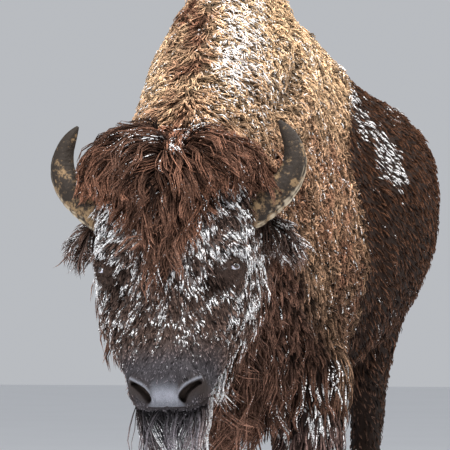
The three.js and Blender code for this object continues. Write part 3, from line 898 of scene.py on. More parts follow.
def skin_marks(points, groups):
    """Where the coat has each colour, where it is bare and where snow dusts it."""
    y, z = points[:, 1], points[:, 2]
    local = to_head(points)
    side, back, depth = face_measures(local)
    head, lock, beard, ear = (groups[name] for name in ("in_head", "in_lock", "in_beard", "in_ear"))
    foreleg, hindleg = groups["in_foreleg"], groups["in_hindleg"]
    wobble = ripple(points, 0.16, 3)
    fine = ripple(points, 0.05, 4)
    behind = ease(0.05, 0.13, back) * ease(0.10, 0.0, depth)  # the poll's rear belongs to the neck
    head = head * (1 - behind)
    chest = on_chest(y, z) * (1 - head) * (1 - beard)
    # the tan cape and the pale wool of the crest
    foot = cape_foot(y) + 0.04 * wobble + 0.03 * fine
    tan = ease(0.025, -0.035, y - cape_edge(points)) * ease(-0.04, 0.22, z - foot)
    tan *= 1 - np.clip(head * 1.2 + lock * 1.2 + beard + ear, 0, 1)
    crest = ease(-0.01, 0.02, poll_room(local)) * ease(-0.15, -0.05, local[:, 2])
    crest = crest * np.clip(head + lock, 0, 1)
    aside = crest * ease(0.02, 0.09, local[:, 0])
    tan = np.maximum(tan, 0.3 * crest + 0.6 * aside)
    # the reddish brown of forelock, poll, jaw and the cape's lower part
    poll = ease(0.26, 0.12, back) * ease(0.02, 0.10, back) * ease(0.14, 0.04, depth) * ease(0.26, 0.16, side)
    rust = crest_streak(points) * (0.75 + 0.5 * fine)
    rust = np.clip(np.maximum(rust, poll * (0.85 + 0.3 * fine)), 0, 1) * (1 - lock)
    lower = ease(1.62, 1.15, z + 0.06 * wobble) * (0.80 + 0.15 * fine)
    rust = np.maximum(rust, np.clip(tan, 0, 1) * np.clip(lower + 0.3 * ease(0.28, 0.0, z - foot), 0, 1))
    jaw = head * ease(0.05, 0.11, back) * ease(0.18, 0.28, depth) * ease(0.66, 0.56, depth)
    tan = tan * (1 - 0.5 * chest)
    rust = np.maximum(rust * (1 - 0.55 * chest), 0.15 * chest) + 0.35 * jaw * (0.8 + 0.4 * fine)
    rust = np.clip(rust + lock * (1 - 0.25 * crest - 0.4 * aside), 0, 1)
    # the brown-black of legs, switch, hooves, crown and belly, with painted shade along the crease, round
    # the eyes and beside the nostrils, and on the lower neck partly darker hair, partly painted shade under
    # the head
    shank = 0.7 * hindleg * mixed(ease(0.9, 0.6, z), 1, 0.5 * ease(0.5, 0.3, z))
    low_leg = np.clip(foreleg * ease(0.45, 0.25, z) + shank, 0, 1)
    dark = np.clip(low_leg + groups["in_switch"] + groups["in_hoof"], 0, 1)
    crease, strength = fold_distance(points, groups)
    from_middle = np.abs(local[:, 0] + 0.02)
    crown_shade = ease(0.10, 0.0, depth + 0.03 * fine) * ease(0.20, 0.08, from_middle)
    inner = ease(0.125, 0.035, from_middle + 0.02 * fine)
    inner = np.maximum(0.80 * crown_shade, inner * mixed(0.66, 0.78, ease(0.16, 0.25, depth)))
    inner = np.maximum(inner, 0.55 * ease(0.05, 0.12, local[:, 0] + 0.03 * fine))
    # lower neck: partly darker hair, partly painted shade under the head
    low_neck = ease(1.12, 0.86, z) * ease(0.12, -0.10, y) * (1 - head) * (1 - beard)
    low_neck = low_neck * ease(0.60, 0.75, z) * (1 - 0.6 * chest)
    belly = ease(1.25, 0.85, z) * ease(-0.1, 0.1, y) * (1 - head)
    muzzle = head * ease(0.46, 0.55, depth + 0.01 * wobble) * ease(0.12, 0.04, back)
    # painted shade along the crease, in the hollows round the eyes and on the muzzle beside and below the
    # nostrils
    for shade in (
        0.45 * strength * swell(0.005, 0.016, crease), lock * inner * (1 - crest),
        0.8 * ease(0.050, 0.018, eye_hollow(points) + 0.008 * fine), 0.6 * low_neck, 0.4 * belly,
        0.5 * muzzle * ease(0.066, 0.080, side) * ease(0.575, 0.60, depth),
    ):
        dark = np.maximum(dark, shade)
    # painted shade in the nostrils, under their rims, in the parting of the lips and along the slit between
    # the lids
    away, share = seen_distance(local, NOSTRIL_LINE)
    rim, _ = seen_distance(local, RIM_LINE)
    lip = lip_distance(local)
    hollow = head * (1 - ease(0.60, 1.3, away / nostril_radius(share)))
    # painted shadow under the rim over each nostril
    wing = ease(-0.003, 0.010, rim) * ease(0.026, 0.008, away)
    wing = wing * ease(-0.02, 0.02, 0.62 - depth + 0.4 * (side - 0.05)) * (away < 0.03)
    hollow = np.maximum(hollow, 0.78 * head * wing)
    hollow = np.clip(hollow + head * mouth_share(back, depth) * swell(0, 0.0036, lip), 0, 1)
    for word, sign in SIDES.items():
        across, rise, out = eye_bed(points, word, sign)
        lids = (out > 0) * (np.hypot(across, rise) < 0.03)
        hollow = np.clip(hollow + lids * ease(1.35, 1.0, slit_measure(across, rise)), 0, 1)
    # the bare pad between the nostrils, and bare rims over the nostrils that carry a painted highlight
    at = (0.575, 0.590, 0.602, 0.613, 0.622, 0.634)
    edge = np.interp(depth, at, (0.018, 0.030, 0.034, 0.030, 0.036, 0.050))
    pad = ease(0.006, -0.006, side - edge) * ease(0.574, 0.608, depth)
    nostril_rim = swell(0, 0.0034, rim)
    pad = np.maximum(pad, 0.95 * nostril_rim) * ease(-0.002, 0.003, lip) * ease(-0.005, -0.03, back)
    low_grey = 0.6 * np.maximum(foreleg * ease(0.72, 0.6, z), 0.40 * chest)
    return {
        "tan": tan, "rust": rust, "dark": dark, "hollow": hollow,
        "face": np.clip(head + ear, 0, 1), "grey": np.clip(muzzle + 0.8 * beard + low_grey, 0, 1),
        "bare": np.clip(head * pad, 0, 1),
        # painted highlight on the middle of the pad and along the nostrils' rims
        "sheen": np.maximum(swell(0.614, 0.014, depth) * ease(0.05, 0.02, side), 0.9 * nostril_rim),
        "snow": snow_share(points, groups, head, tan),
        # painted shade of the hide under the coat, less on the head
        "under": 1 - np.clip(groups["in_head"] * 1.3, 0, 0.75),
    }


def crest_streak(points):
    """The reddish streak along the crest, just right of the white one."""
    x, y, z = points.T
    at = (-0.95, -0.83, -0.77, -0.64, -0.45, -0.1)
    middle = np.interp(y, at, (0.02, -0.005, 0.0, -0.03, -0.055, -0.08))
    middle = middle + 0.015 * ripple(points, 0.12, 21)
    return swell(0, 0.055, x - middle) * ease(1.10, 1.25, z) * ease(0.0, -0.25, y)


def snow_share(points, groups, head, tan):
    """How much of the coat has snow on its tips."""
    x, y, z = points.T
    local = to_head(points)
    side, back, depth = face_measures(local)
    patches = ease(-0.35, 0.75, ripple(points, 0.20, 8))
    specks = ease(-0.3, 0.8, ripple(points, 0.045, 9))
    clots = ease(-0.35, 0.35, ripple(points, 0.024, 33))
    # cape and crest
    crest = swell(0.080, 0.045, x) * ease(-0.30, -0.42, y) * ease(1.30, 1.55, z)
    top = ease(1.15, 1.70, z + 0.10 * ease(0.3, 0.0, np.abs(x)))
    snow = tan * (0.18 + 0.30 * top * patches + 0.34 * crest) * (1 - 0.8 * crest_streak(points))
    # a heap behind the hump, a ridge up from it and dust along the spine
    trunk = (1 - tan) * (1 - head) * ease(SHOULDER_Y - 0.1, -0.05, y)
    pile = swell(0, 0.056, np.linalg.norm(points * (0, 1, 1) - (0, 0.16, 1.275), axis=1))
    ridge, _ = along_line(points * (0, 1, 1), np.array([(0, 0.05, 1.45), (0, 0.11, 1.26)]))
    heap = 3.6 * pile * (0.35 + 0.65 * clots) + 1.8 * swell(0, 0.045, ridge) * clots
    dust = 1.1 * ease(1.30, 1.5, z) * (0.25 + 0.75 * patches) * clots * (0.4 + 0.6 * specks)
    snow = snow + trunk * (heap + dust + 0.06)
    # temples, under the forelock, round the eyes and down the face
    front = ease(0.12, 0.03, back)
    temple = swell(0.215, 0.075, depth) * swell(0.148, 0.042, side) * front
    temple = temple * mixed(1.0, 0.65, local[:, 0] > 0)
    under_lock = ease(0.0, -0.03, lock_room(local)) * swell(0.24, 0.09, depth)
    under_lock = under_lock * ease(0.20, 0.16, side) * front
    rim = swell(0.176, 0.022, side) * ease(0.22, 0.26, depth)
    rim = rim * ease(0.48, 0.40, depth) * ease(0.13, 0.08, back)
    face = ease(0.58, 0.46, depth) * (0.26 + 0.12 * specks) * ease(0.16, 0.05, back)
    snow = snow + head * (0.15 + 1.2 * clots) * (temple + 0.36 * under_lock + 0.08 * rim + 1.3 * face)
    # forelock, ears, jaw, chest, beard and forelegs
    parting = swell(0, 0.075, np.linalg.norm(local - CROWN, axis=1))
    snow = snow + groups["in_lock"] * (0.03 + 0.55 * parting * specks) + 0.35 * groups["in_ear"]
    fringe = head * ease(0.03, 0.08, back) * ease(0.40, 0.50, depth) * ease(-0.02, 0.04, local[:, 0])
    snow = snow + 0.45 * fringe + 0.14 * on_chest(y, z) * (1 - head) * specks
    chin = ease(-0.010, -0.025, lip_distance(local)) * ease(0.48, 0.54, depth)
    snow = snow + 0.52 * np.maximum(groups["in_beard"], head * chin)
    foreleg = 0.70 * groups["in_foreleg"] * swell(0.60, 0.16, z)
    snow = snow + foreleg * ease(-0.2, 0.4, ripple(points, 0.06, 35)) + 0.04
    return np.clip(snow * ease(0.012, 0.032, eye_hollow(points) + 0.010 * ripple(points, 0.018, 43)), 0, 1)


class BISON_OT_skin(bpy.types.Operator):
    """Build the one skin that lies under the whole coat, with lids, nostrils and lips"""

    bl_idname = "bison.skin"
    bl_label = "Skin"

    def execute(self, context):
        bm = bmesh.new()
        bm.from_mesh(with_modifier(joined_solids(), "REMESH", mode="VOXEL", voxel_size=VOXEL))
        keep_outer_shell(bm)
        for wanted in (on_face, on_muzzle, on_fine_parts):
            refine(bm, wanted)
            bmesh.ops.smooth_vert(
                bm, verts=bm.verts, factor=0.4, use_axis_x=True, use_axis_y=True, use_axis_z=True,
            )
        bmesh.ops.recalc_face_normals(bm, faces=bm.faces)
        mesh = mesh_of(bm)
        ends = read(mesh.edges, "vertices", 2, np.int32)
        co = positions(mesh)
        labels = node_labels(co)
        groups = memberships(labels, co, ends)
        inward = unit(spread(normals(mesh), ends, 2)) * skin_depth(labels, co, ends)[:, None]
        inner = co - inward
        inner = mixed(inner, spread(inner, ends, 3), np.where(on_face(co), 0.3, 1.0)[:, None])
        set_positions(mesh, inner)
        inner = inner + normals(mesh) * fold_relief(inner, groups)[:, None]
        set_positions(mesh, inner)
        face = sculpt_face(to_head(inner), normals(mesh) @ HEAD_TURN) @ HEAD_TURN.T + HEAD_ORIGIN
        shaped = mixed(inner, face, ease(0.35, 0.7, groups["in_head"])[:, None])
        set_positions(mesh, sculpt_eyes(shaped))
        write_marks(mesh, {**skin_marks(inner, groups), **groups})
        piece = finished("skin", mesh, "Hide", FLESH + HAIR_MASSES)
        self.unwrap(piece)
        return {"FINISHED"}

    def unwrap(self, piece):
        piece.data.uv_layers.new(name="OFBake")
        bpy.context.view_layer.objects.active = piece
        piece.select_set(True)
        bpy.ops.object.mode_set(mode="EDIT")
        bpy.ops.mesh.select_all(action="SELECT")
        bpy.ops.uv.smart_project(angle_limit=1.15, island_margin=0.002, scale_to_bounds=True)
        bpy.ops.object.mode_set(mode="OBJECT")
        piece.select_set(False)


# ---------------------------------------------------------------- coat

Roots = namedtuple("Roots", "coat point normal uv marks")
COLOUR_MARKS = ("tan", "rust", "face", "grey", "dark")
CELL_HASH = np.array([73856093, 19349663, 83492791])  # three large primes, to number the cells of a grid
PATCH = 0.003  # side of a tuft's patch on the bake map
SHORTEST = 0.04  # the least length of a hanging strand
DOWN = np.array((0, 0, -1.0))


def cell_leaders(points, size, rng):
    """The first point in each cell of a grid that has a random start."""
    cell = np.floor(points / size + rng.uniform(0, 1, 3)).astype(np.int64)
    return np.unique(cell @ CELL_HASH, return_index=True)[1]


class Hide:
    """The skin's surface as arrays, to root hair on."""

    def __init__(self):
        mesh = bpy.data.objects["skin"].data
        mesh.calc_loop_triangles()
        self.corners = read(mesh.loop_triangles, "vertices", 3, np.int32)
        loops = read(mesh.loop_triangles, "loops", 3, np.int32)
        self.uv = read(mesh.uv_layers["OFBake"].data, "uv", 2, np.float32)[loops]
        self.co = positions(mesh)
        self.normal = normals(mesh)
        self.marks = {
            mark.name: read(mark.data, "value", 1, np.float32)[:, 0].astype(float)
            for mark in mesh.attributes if mark.domain == "POINT" and mark.data_type == "FLOAT"
        }
        a, b, c = (self.co[self.corners[:, i]] for i in range(3))
        self.area = np.linalg.norm(np.cross(b - a, c - a), axis=1) / 2

    def scatter(self, kind, seed, wanted):
        """Evenly strewn roots for one kind of coat, on coated skin where wanted(points, marks) is true."""
        coat = COATS[kind]
        rng = np.random.default_rng(seed)
        centre = self.co[self.corners].mean(1)
        at_centre = {name: values[self.corners].mean(1) for name, values in self.marks.items()}
        chosen = np.flatnonzero(wanted(centre, at_centre) & coated(at_centre))
        area = self.area[chosen]
        tries = int(area.sum() / coat.spacing ** 2 * 4)
        pick = np.searchsorted(np.cumsum(area), rng.uniform(0, area.sum(), tries))
        face = chosen[pick.clip(0, len(chosen) - 1)]
        share = rng.dirichlet((1, 1, 1), tries)
        point = np.einsum("nij,ni->nj", self.co[self.corners[face]], share)
        first = cell_leaders(point, coat.spacing * 1.22, rng)
        if len(first) > coat.most:
            first = rng.choice(first, coat.most, replace=False)
        face, share, point = face[first], share[first], point[first]
        normal = unit(np.einsum("nij,ni->nj", self.normal[self.corners[face]], share))
        uv = np.einsum("nij,ni->nj", self.uv[face], share)
        marks = {
            name: np.einsum("ni,ni->n", values[self.corners[face]], share)
            for name, values in self.marks.items()
        }
        return Roots(coat, point, normal, uv, marks)


def flat_on(aim, normal):
    return unit(aim - (aim * normal).sum(1, keepdims=True) * normal)


def head_aim(out, back, up, count):
    """Directions in the world, from their parts in the head's own frame."""
    return from_head(np.stack(np.broadcast_arrays(out, back, np.full(count, up)), 1))


def lie_of_body(points, normal):
    """Hair on neck, trunk and legs lies down and back."""
    back = 0.80 + 0.4 * ease(SHOULDER_Y, 0.2, points[:, 1]) - 0.6 * ease(0.95, 0.6, points[:, 2])
    aim = np.stack([0.25 * np.tanh(points[:, 0] / 0.10), back, np.full(len(points), -1.0)], 1)
    return flat_on(aim, normal)


def lie_of_face(points, normal):
    """Hair on the face lies down towards the muzzle and spreads out from the midline."""
    x, y, _ = to_head(points).T
    return flat_on(head_aim(0.5 * np.tanh(x / 0.08), 0.15 + 0.5 * ease(0.0, 0.12, y), -1.0, len(x)), normal)


def lie_of_cheek(points, normal):
    """Long hair behind the cheeks hangs down, out and a little back."""
    aim = head_aim(0.5 * np.sign(to_head(points)[:, 0]), 0.25, -1.0, len(points))
    return unit(flat_on(aim, normal) + 0.35 * unit(aim))


def lie_of_ear(points, normal):
    """Hair on an ear hangs down and a little out."""
    return flat_on(head_aim(np.sign(to_head(points)[:, 0]) * 0.25, 0.15, -1.0, len(points)), normal)


def lie_of_poll(points, normal):
    """Wool of the crest lies forward and down to the parting."""
    return flat_on(head_aim(2.0 * (CROWN[0] - to_head(points)[:, 0]), -1.0, -0.3, len(points)), normal)


def lie_straight_down(points, normal):
    return flat_on(DOWN, normal)


CROWN = np.array((0.015, -0.120, -0.030))  # where the forelock parts, in the head's own frame
LOCK_TIP = -0.030  # where the forelock's tip hangs, across the head in its own frame


def lie_of_forelock(points, normal):
    """Strands spread from the parting on the crown, then fall and draw together between the eyes."""
    local = to_head(points)
    away = local - CROWN
    away[:, 0] += 0.035 * ripple(local, 0.06, 90)
    away[:, 2] += 0.020 * ripple(local, 0.06, 91)
    reach = np.hypot(away[:, 0], away[:, 2])
    depth = -local[:, 2]
    aim = away / np.maximum(reach, 0.01)[:, None] * (1.0, 0.6, 1.0)
    aim[:, 2] -= 0.10 + 1.9 * np.clip(reach, 0, 0.4)
    aim[:, 0] -= 4.0 * (local[:, 0] - LOCK_TIP) * ease(0.14, 0.28, depth)
    aim[:, 1] += 0.5 * ease(0.0, 0.09, local[:, 1])
    aim = from_head(aim)
    flare = 0.30 + 0.80 * ease(0.12, 0.20, np.abs(local[:, 0])) * ease(0.16, 0.08, depth)
    return unit(flat_on(aim, normal) + flare[:, None] * unit(aim))


def poll_room(local):
    """How far inside the wool between the horns, which runs forward to the parting, points lie."""
    away = local - CROWN
    behind = np.clip(away[:, 1], 0, 0.2)
    crest = 0.010 + 0.65 * behind - np.abs(away[:, 0] + 0.15 * behind)
    at = (0.03, 0.10, 0.16, 0.20, 0.24)
    edge = np.interp(local[:, 0], at, (-0.008, -0.008, -0.022, -0.050, -0.090))
    return np.maximum(crest, np.minimum(local[:, 0] - 0.02, local[:, 2] - edge))


def on_poll(points):
    local = to_head(points)
    away = local - CROWN
    return (poll_room(local) > 0) & (away[:, 1] > -0.005) & (away[:, 1] < 0.23) & (away[:, 2] > -0.07)


def tuft_faces(rings):
    """Triangles of one three-sided spike with a closed root, and each corner's place on its patch."""
    faces, places = [], []
    for ring in range(rings):
        for j in range(3):
            a, b = ring * 3 + j, ring * 3 + (j + 1) % 3
            u0, u1 = j / 3, (j + 1) / 3
            v0, v1 = ring / rings, (ring + 1) / rings
            if ring < rings - 1:
                faces += [(a, b, b + 3), (a, b + 3, a + 3)]
                places += [((u0, v0), (u1, v0), (u1, v1)), ((u0, v0), (u1, v1), (u0, v1))]
            else:
                faces.append((a, b, rings * 3))
                places.append(((u0, v0), (u1, v0), ((u0 + u1) / 2, 1)))
    faces.append((2, 1, 0))
    places.append(((0, 0), (0.33, 0), (0.66, 0)))
    return np.array(faces), np.array(places, float)


# How one kind of hair grows. rings is the number of steps up a tuft. lift and tuck are how steeply it leaves
# the skin and comes back. wave, swing and jitter are how it winds and strays. clump and draw are the size of
# a lock and how far its tufts share one tip. sink is the depth of its root, sag its fall, thickness its
# section, hug its height where it keeps close to the skin, huddle how far whole locks share their snow, and
# light how much brighter it is painted: partly the paler grey of hanging hair, partly painted light for the
# beard in the shade under the head.
Style = namedtuple(
    "Style", "rings lift tuck wave swing jitter clump draw sink sag thickness hug huddle light",
    defaults=(0, 0.5, 0, 0.45, 0),
)
SHORT = Style(2, lift=0.80, tuck=1.15, wave=0, swing=0, jitter=0.24, clump=0.0095, draw=0.50, sink=0.002)
SLEEK = SHORT._replace(clump=0.015, lift=0.44, tuck=1.2, jitter=0.18)
WOOL = Style(3, lift=1.0, tuck=1.8, wave=1.1, swing=0.18, jitter=0.60, clump=0.0100, draw=0.50, sink=0.004)
CHEEK = Style(
    3, lift=0.70, tuck=1.4, wave=0.8, swing=0.08, jitter=0.20, clump=0.018, draw=0.64, sink=0.004, sag=0.5,
)
LOCK = Style(
    4, lift=0.42, tuck=1.3, wave=0.9, swing=0.11, jitter=0.28, clump=0.018, draw=0.62, sink=0.005, sag=0.5,
    huddle=0.25,
)
POLL = LOCK._replace(jitter=0.4, huddle=0.1)
MANE = LOCK._replace(
    lift=0.62, tuck=1.6, swing=0.12, jitter=0.30, clump=0.017, draw=0.60, sink=0.003, sag=0.4,
)
EAR = LOCK._replace(lift=0.80, tuck=0.8, clump=0.014, draw=0.55, sag=0.4)
STRAND = Style(
    5, lift=0.3, tuck=1.2, wave=1.1, swing=0.100, jitter=0.30, clump=0.014, draw=0.72, sink=0.004, sag=0.1,
    thickness=0.45, hug=0.018, huddle=0.1,
)
# light: partly paler grey hair, partly painted light for the beard in the shade under the head
HANGING = Style(
    5, lift=0.36, tuck=1.2, wave=1.1, swing=0.085, jitter=0.22, clump=0.017, draw=0.68, sink=0.004, sag=2.5,
    huddle=0.3, light=0.3,
)


def lock_leaders(points, size, rng):
    """For every root the number of the tuft that leads its lock, of locks about size across."""
    first = cell_leaders(points, size, rng)
    tree = KDTree(len(first))
    for i, leader in enumerate(first):
        tree.insert(points[leader], i)
    tree.balance()
    return np.array([first[tree.find(point)[1]] for point in points])


def grow(name, hide, roots, seed, length, width=None):
    """Grows one joined mesh of tufts, drawn together in locks, with the marks of the skin at their roots."""
    rng = np.random.default_rng(seed)
    style = roots.coat.style
    count, rings = len(roots.point), style.rings
    lead = lock_leaders(roots.point, style.clump, rng)
    # what varies from tuft to tuft, and what all tufts of a lock have in common
    own, common = rng.normal(0, 1, (6, count)), rng.normal(0, 1, (6, count))[:, lead]
    length = length * np.clip(1 + 0.12 * own[0] + 0.16 * common[0], 0.5, 1.5)
    width = (roots.coat.width if width is None else width) * rng.uniform(0.7, 1.3, count)
    turn = style.jitter * (0.35 * own[1] + common[1])
    rise = np.clip(1 + 0.18 * own[2] + 0.35 * common[2], 0.2, 2)
    middle, across, upward = spines(hide, roots, length, turn, rise)
    share = np.linspace(0, 1, rings + 1)
    phase = rng.uniform(0, 2 * math.pi, (2, count))[:, lead, None] + 0.5 * own[3:5, :, None]
    bend = style.wave * np.clip(1 + 0.2 * common[3], 0.5, 1.5)[:, None] * share * 2 * math.pi
    reach = (style.swing * length)[:, None] * share
    middle = middle + across * (reach * np.sin(bend + phase[0]))[..., None]
    middle = middle + upward * (0.5 * reach * np.sin(bend + phase[1]))[..., None]
    middle = mixed(middle, middle[lead], (style.draw * share ** 1.3)[None, :, None])
    half = width[:, None] / 2 * (1 - share ** 2.1) * (0.62 + 0.38 * np.clip(share * 3, 0, 1))
    twist = (rng.normal(0, 0.5, (count, 1)) * share)[..., None]
    flat = across * np.cos(twist) + upward * np.sin(twist)
    proud = upward * np.cos(twist) - across * np.sin(twist)
    body, flat, proud, half = middle[:, :rings], flat[:, :rings], proud[:, :rings], half[:, :rings, None]
    ring = np.stack([body - flat * half, body + proud * half * 2 * style.thickness, body + flat * half], 2)
    verts = np.concatenate([ring.reshape(count, rings * 3, 3), middle[:, rings:]], 1)
    faces, places = tuft_faces(rings)
    per = rings * 3 + 1
    flank = np.linalg.norm(roots.point - roots.point[lead], axis=1) / style.clump
    luck = rng.uniform(0, 1, (2, count))
    chance = mixed(luck[0], luck[1][lead], style.huddle)
    snow = roots.marks["snow"]
    snow = ease(-0.08, 0.12, snow - chance) * (0.44 + 0.32 * ease(0.1, 0.8, snow))
    # shade: random tone per tuft and lock, with painted shade darkening the tufts on a lock's flanks, plus
    # the style's light
    shade = np.clip(0.60 + 0.25 * common[5] + 0.12 * own[5] - 0.36 * flank + style.light, 0, 1)
    marks = {**{mark: roots.marks[mark] for mark in COLOUR_MARKS}, "snow": snow, "shade": shade}
    marks = {mark: np.repeat(values, per) for mark, values in marks.items()}
    marks["tip"] = np.tile(np.append(np.repeat(share[:rings], 3), 1.0), count)
    mesh = triangle_mesh(verts.reshape(-1, 3), faces, count, per)
    add_map(mesh, "OFBake", roots.uv[:, None, None] + PATCH * (places - 0.5)[None])
    add_map(mesh, "Strand", places[None] + rng.uniform(0, 40, (count, 1, 1, 2)))
    write_marks(mesh, marks)
    return finished(name, mesh, "Coat hair")


def spines(hide, roots, length, turn, rise):
    """The middle line of every tuft, with a sideways and an upward direction at each of its points."""
    style = roots.coat.style
    rings = style.rings
    tree = BVHTree.FromPolygons(hide.co.tolist(), hide.corners.tolist()) if style.hug else None
    place = roots.point - roots.normal * style.sink
    normal = roots.normal
    middle, across, upward = [place], [], []
    for step in range(rings):
        t = (step + 0.5) / rings
        aim = roots.coat.lie(place, normal)
        side = np.cross(aim, normal)
        aim = aim * np.cos(turn)[:, None] + side * np.sin(turn)[:, None]
        angle = style.lift * rise * (1 - style.tuck * t)
        aim = aim * np.cos(angle)[:, None] + normal * np.sin(angle)[:, None]
        aim = unit(aim + DOWN * style.sag * t)
        side = unit(np.cross(aim, normal))
        across.append(side)
        upward.append(np.cross(side, aim))
        place = place + aim * (length / rings)[:, None]
        if tree:
            low = 0.003 + style.hug * rise * math.sin(math.pi * min(1, (step + 1.3) / rings))
            place, normal = held_close(tree, place, normal, low, low + 0.004 + 0.030 * t)
        middle.append(place)
    return np.stack(middle, 1), np.stack([*across, across[-1]], 1), np.stack([*upward, upward[-1]], 1)


def held_close(tree, place, normal, low, high):
    """Points brought back between two heights over the skin, and the way the skin faces there."""
    held, facing = place.copy(), normal.copy()
    for i, point in enumerate(place):
        found, direction, _, _ = tree.find_nearest(point)
        outward = np.array(direction)
        height = (point - np.array(found)) @ outward
        held[i] = point + outward * (min(max(height, low[i]), high[i]) - height)
        facing[i] = outward
    return held, unit(facing)


def triangle_mesh(verts, faces, count, per):
    """Joins count copies of the same faces, each over per vertices of its own."""
    corners = (faces[None] + (np.arange(count) * per)[:, None, None]).reshape(-1)
    mesh = bpy.data.meshes.new("shape")
    mesh.vertices.add(len(verts))
    mesh.vertices.foreach_set("co", verts.astype(np.float32).ravel())
    mesh.loops.add(len(corners))
    mesh.loops.foreach_set("vertex_index", corners.astype(np.int32))
    mesh.polygons.add(len(corners) // 3)
    mesh.polygons.foreach_set("loop_start", np.arange(0, len(corners), 3, dtype=np.int32))
    mesh.update(calc_edges=True)
    return mesh


def add_map(mesh, name, uv):
    layer = mesh.uv_layers.new(name=name)
    layer.data.foreach_set("uv", np.asarray(uv, np.float32).ravel())


def on_side(points, side):
    return points[:, 0] * side >= 0


def on_trunk(marks):
    """Neck, trunk and rump, without head, tail and legs."""
    apart = ("head", "lock", "beard", "ear", "horn", "hoof", "tail", "switch", "foreleg", "hindleg")
    return sum(marks[f"in_{name}"] for name in apart) < 0.5


def mane_share(points):
    """Where the wool of the cape grows out into long locks."""
    return ease(1.12, 0.86, points[:, 2]) * ease(SHOULDER_Y + 0.06, SHOULDER_Y - 0.18, points[:, 1])


def coated(marks):
    """Nowhere on bare skin, in the eyes or under horn and hoof."""
    bare = (marks["bare"] >= 0.3) | (marks["hollow"] >= 0.35)
    return ~(bare | (marks["in_horn"] >= 0.4) | (marks["in_hoof"] >= 0.6))


def in_cape(points, marks):
    return on_trunk(marks) & (points[:, 1] < cape_edge(points) + CAPE_RAG) & (mane_share(points) < 0.45)


def on_cheek(points):
    local = to_head(points)
    return (local[:, 1] > 0.025) & (local[:, 2] < -0.11) & (local[:, 2] > -0.52)


def under_chin(points, marks):
    local = to_head(points)
    side, back, depth = face_measures(local)
    chin = (back > -0.06) & (depth > 0.52) & (lip_distance(local) < -0.004)
    throat = (back > 0.05) & (depth > 0.42)
    return (marks["in_beard"] >= 0.4) | ((marks["in_head"] >= 0.5) & (chin | throat) & (side < 0.085))


Coat = namedtuple("Coat", "spacing most width lie style slot")
# How far apart the tufts of each coat are rooted, the most of them in one piece, and how wide each one is.
COATS = {
    "cape": Coat(0.0060, 11800, 0.0050, lie_of_body, WOOL, "cape_fur"),
    "poll": Coat(0.0055, 4000, 0.0060, lie_of_poll, POLL, "forelock_fur"),
    "mane": Coat(0.0064, 4300, 0.0072, lie_of_body, MANE, "cape_fur"),
    "barrel": Coat(0.0120, 11000, 0.0054, lie_of_body, SLEEK, "body_fur"),
    "hind_leg": Coat(0.0112, 5000, 0.0056, lie_of_body, SLEEK, "leg_fur"),
    "chaps": Coat(0.0100, 4400, 0.0075, lie_straight_down, LOCK, "leg_fur"),
    "shin": Coat(0.0080, 3600, 0.0055, lie_straight_down, SHORT, "leg_fur"),
    "face": Coat(0.0048, 15000, 0.0038, lie_of_face, SHORT, "face_fur"),
    "cheek": Coat(0.0085, 3000, 0.0062, lie_of_cheek, CHEEK, "face_fur"),
    "ears": Coat(0.0036, 2200, 0.006, lie_of_ear, EAR, "face_fur"),
    "forelock": Coat(0.0041, 6900, 0.0043, lie_of_forelock, STRAND, "forelock_fur"),
    "beard": Coat(0.0060, 4600, 0.0050, lie_straight_down, HANGING, "face_fur"),
    "tail": Coat(0.0085, 2400, 0.006, lie_straight_down, SHORT, "body_fur"),
    "switch": Coat(0.0070, 1500, 0.007, lie_straight_down, HANGING, "leg_fur"),
}
POLL_LENGTH = 0.055
EAR_LENGTH = 0.055
SHIN_LENGTH = 0.018
TAIL_LENGTH = 0.026
CHAPS_END, SHIN_TOP = 0.40, 0.42  # heights on a foreleg where the long hair ends and the short hair starts
REACHES = (0.25, 0.4, 0.55, 0.7, 0.85, 1.0)  # shares of the forelock's length that are tried


class BISON_OT_cape(bpy.types.Operator):
    """Grow the woolly cape of hump, neck and shoulders, in four pieces, and the crest between the horns"""

    bl_idname = "bison.cape"
    bl_label = "Cape"

    def execute(self, context):
        hide = Hide()
        parts = [(part, word) for part in ("neck", "hump") for word in SIDES]
        for seed, (part, word) in enumerate(parts, 11):
            roots = hide.scatter(
                "cape", seed, lambda p, m: in_cape(p, m) & ((p[:, 0] >= 0) == (word == "left"))
                & ((p[:, 1] >= CAPE_SEAM) == (part == "hump")),
            )
            local = to_head(roots.point)
            poll = ease(0.30, 0.14, local[:, 1]) * ease(-0.20, -0.05, local[:, 2])
            long = mixed(1.0, 1.8, np.maximum(mane_share(roots.point), poll))
            grow(f"coat_{part}_{word}", hide, roots, seed, context.scene.bison_lengths.cape * long)
        grow("coat_poll", hide, hide.scatter("poll", 15, lambda p, m: on_poll(p)), 16, POLL_LENGTH)
        return {"FINISHED"}


class BISON_OT_mane(bpy.types.Operator):
    """Grow the wavy locks of the lower neck, chest and shoulders"""

    bl_idname = "bison.mane"
    bl_label = "Mane"

    def execute(self, context):
        hide = Hide()
        for word, side in SIDES.items():
            roots = hide.scatter(
                "mane", 20 + side, lambda p, m: on_trunk(m) & (mane_share(p) >= 0.40) & on_side(p, side),
            )
            long = context.scene.bison_lengths.mane * mixed(0.44, 0.50, mane_share(roots.point))
            long = long * mixed(1.0, 4.2, ease(-0.1, -0.6, roots.normal[:, 2]))  # longer on the brisket
            grow(f"coat_mane_{word}", hide, roots, 22 + side, long)
        return {"FINISHED"}


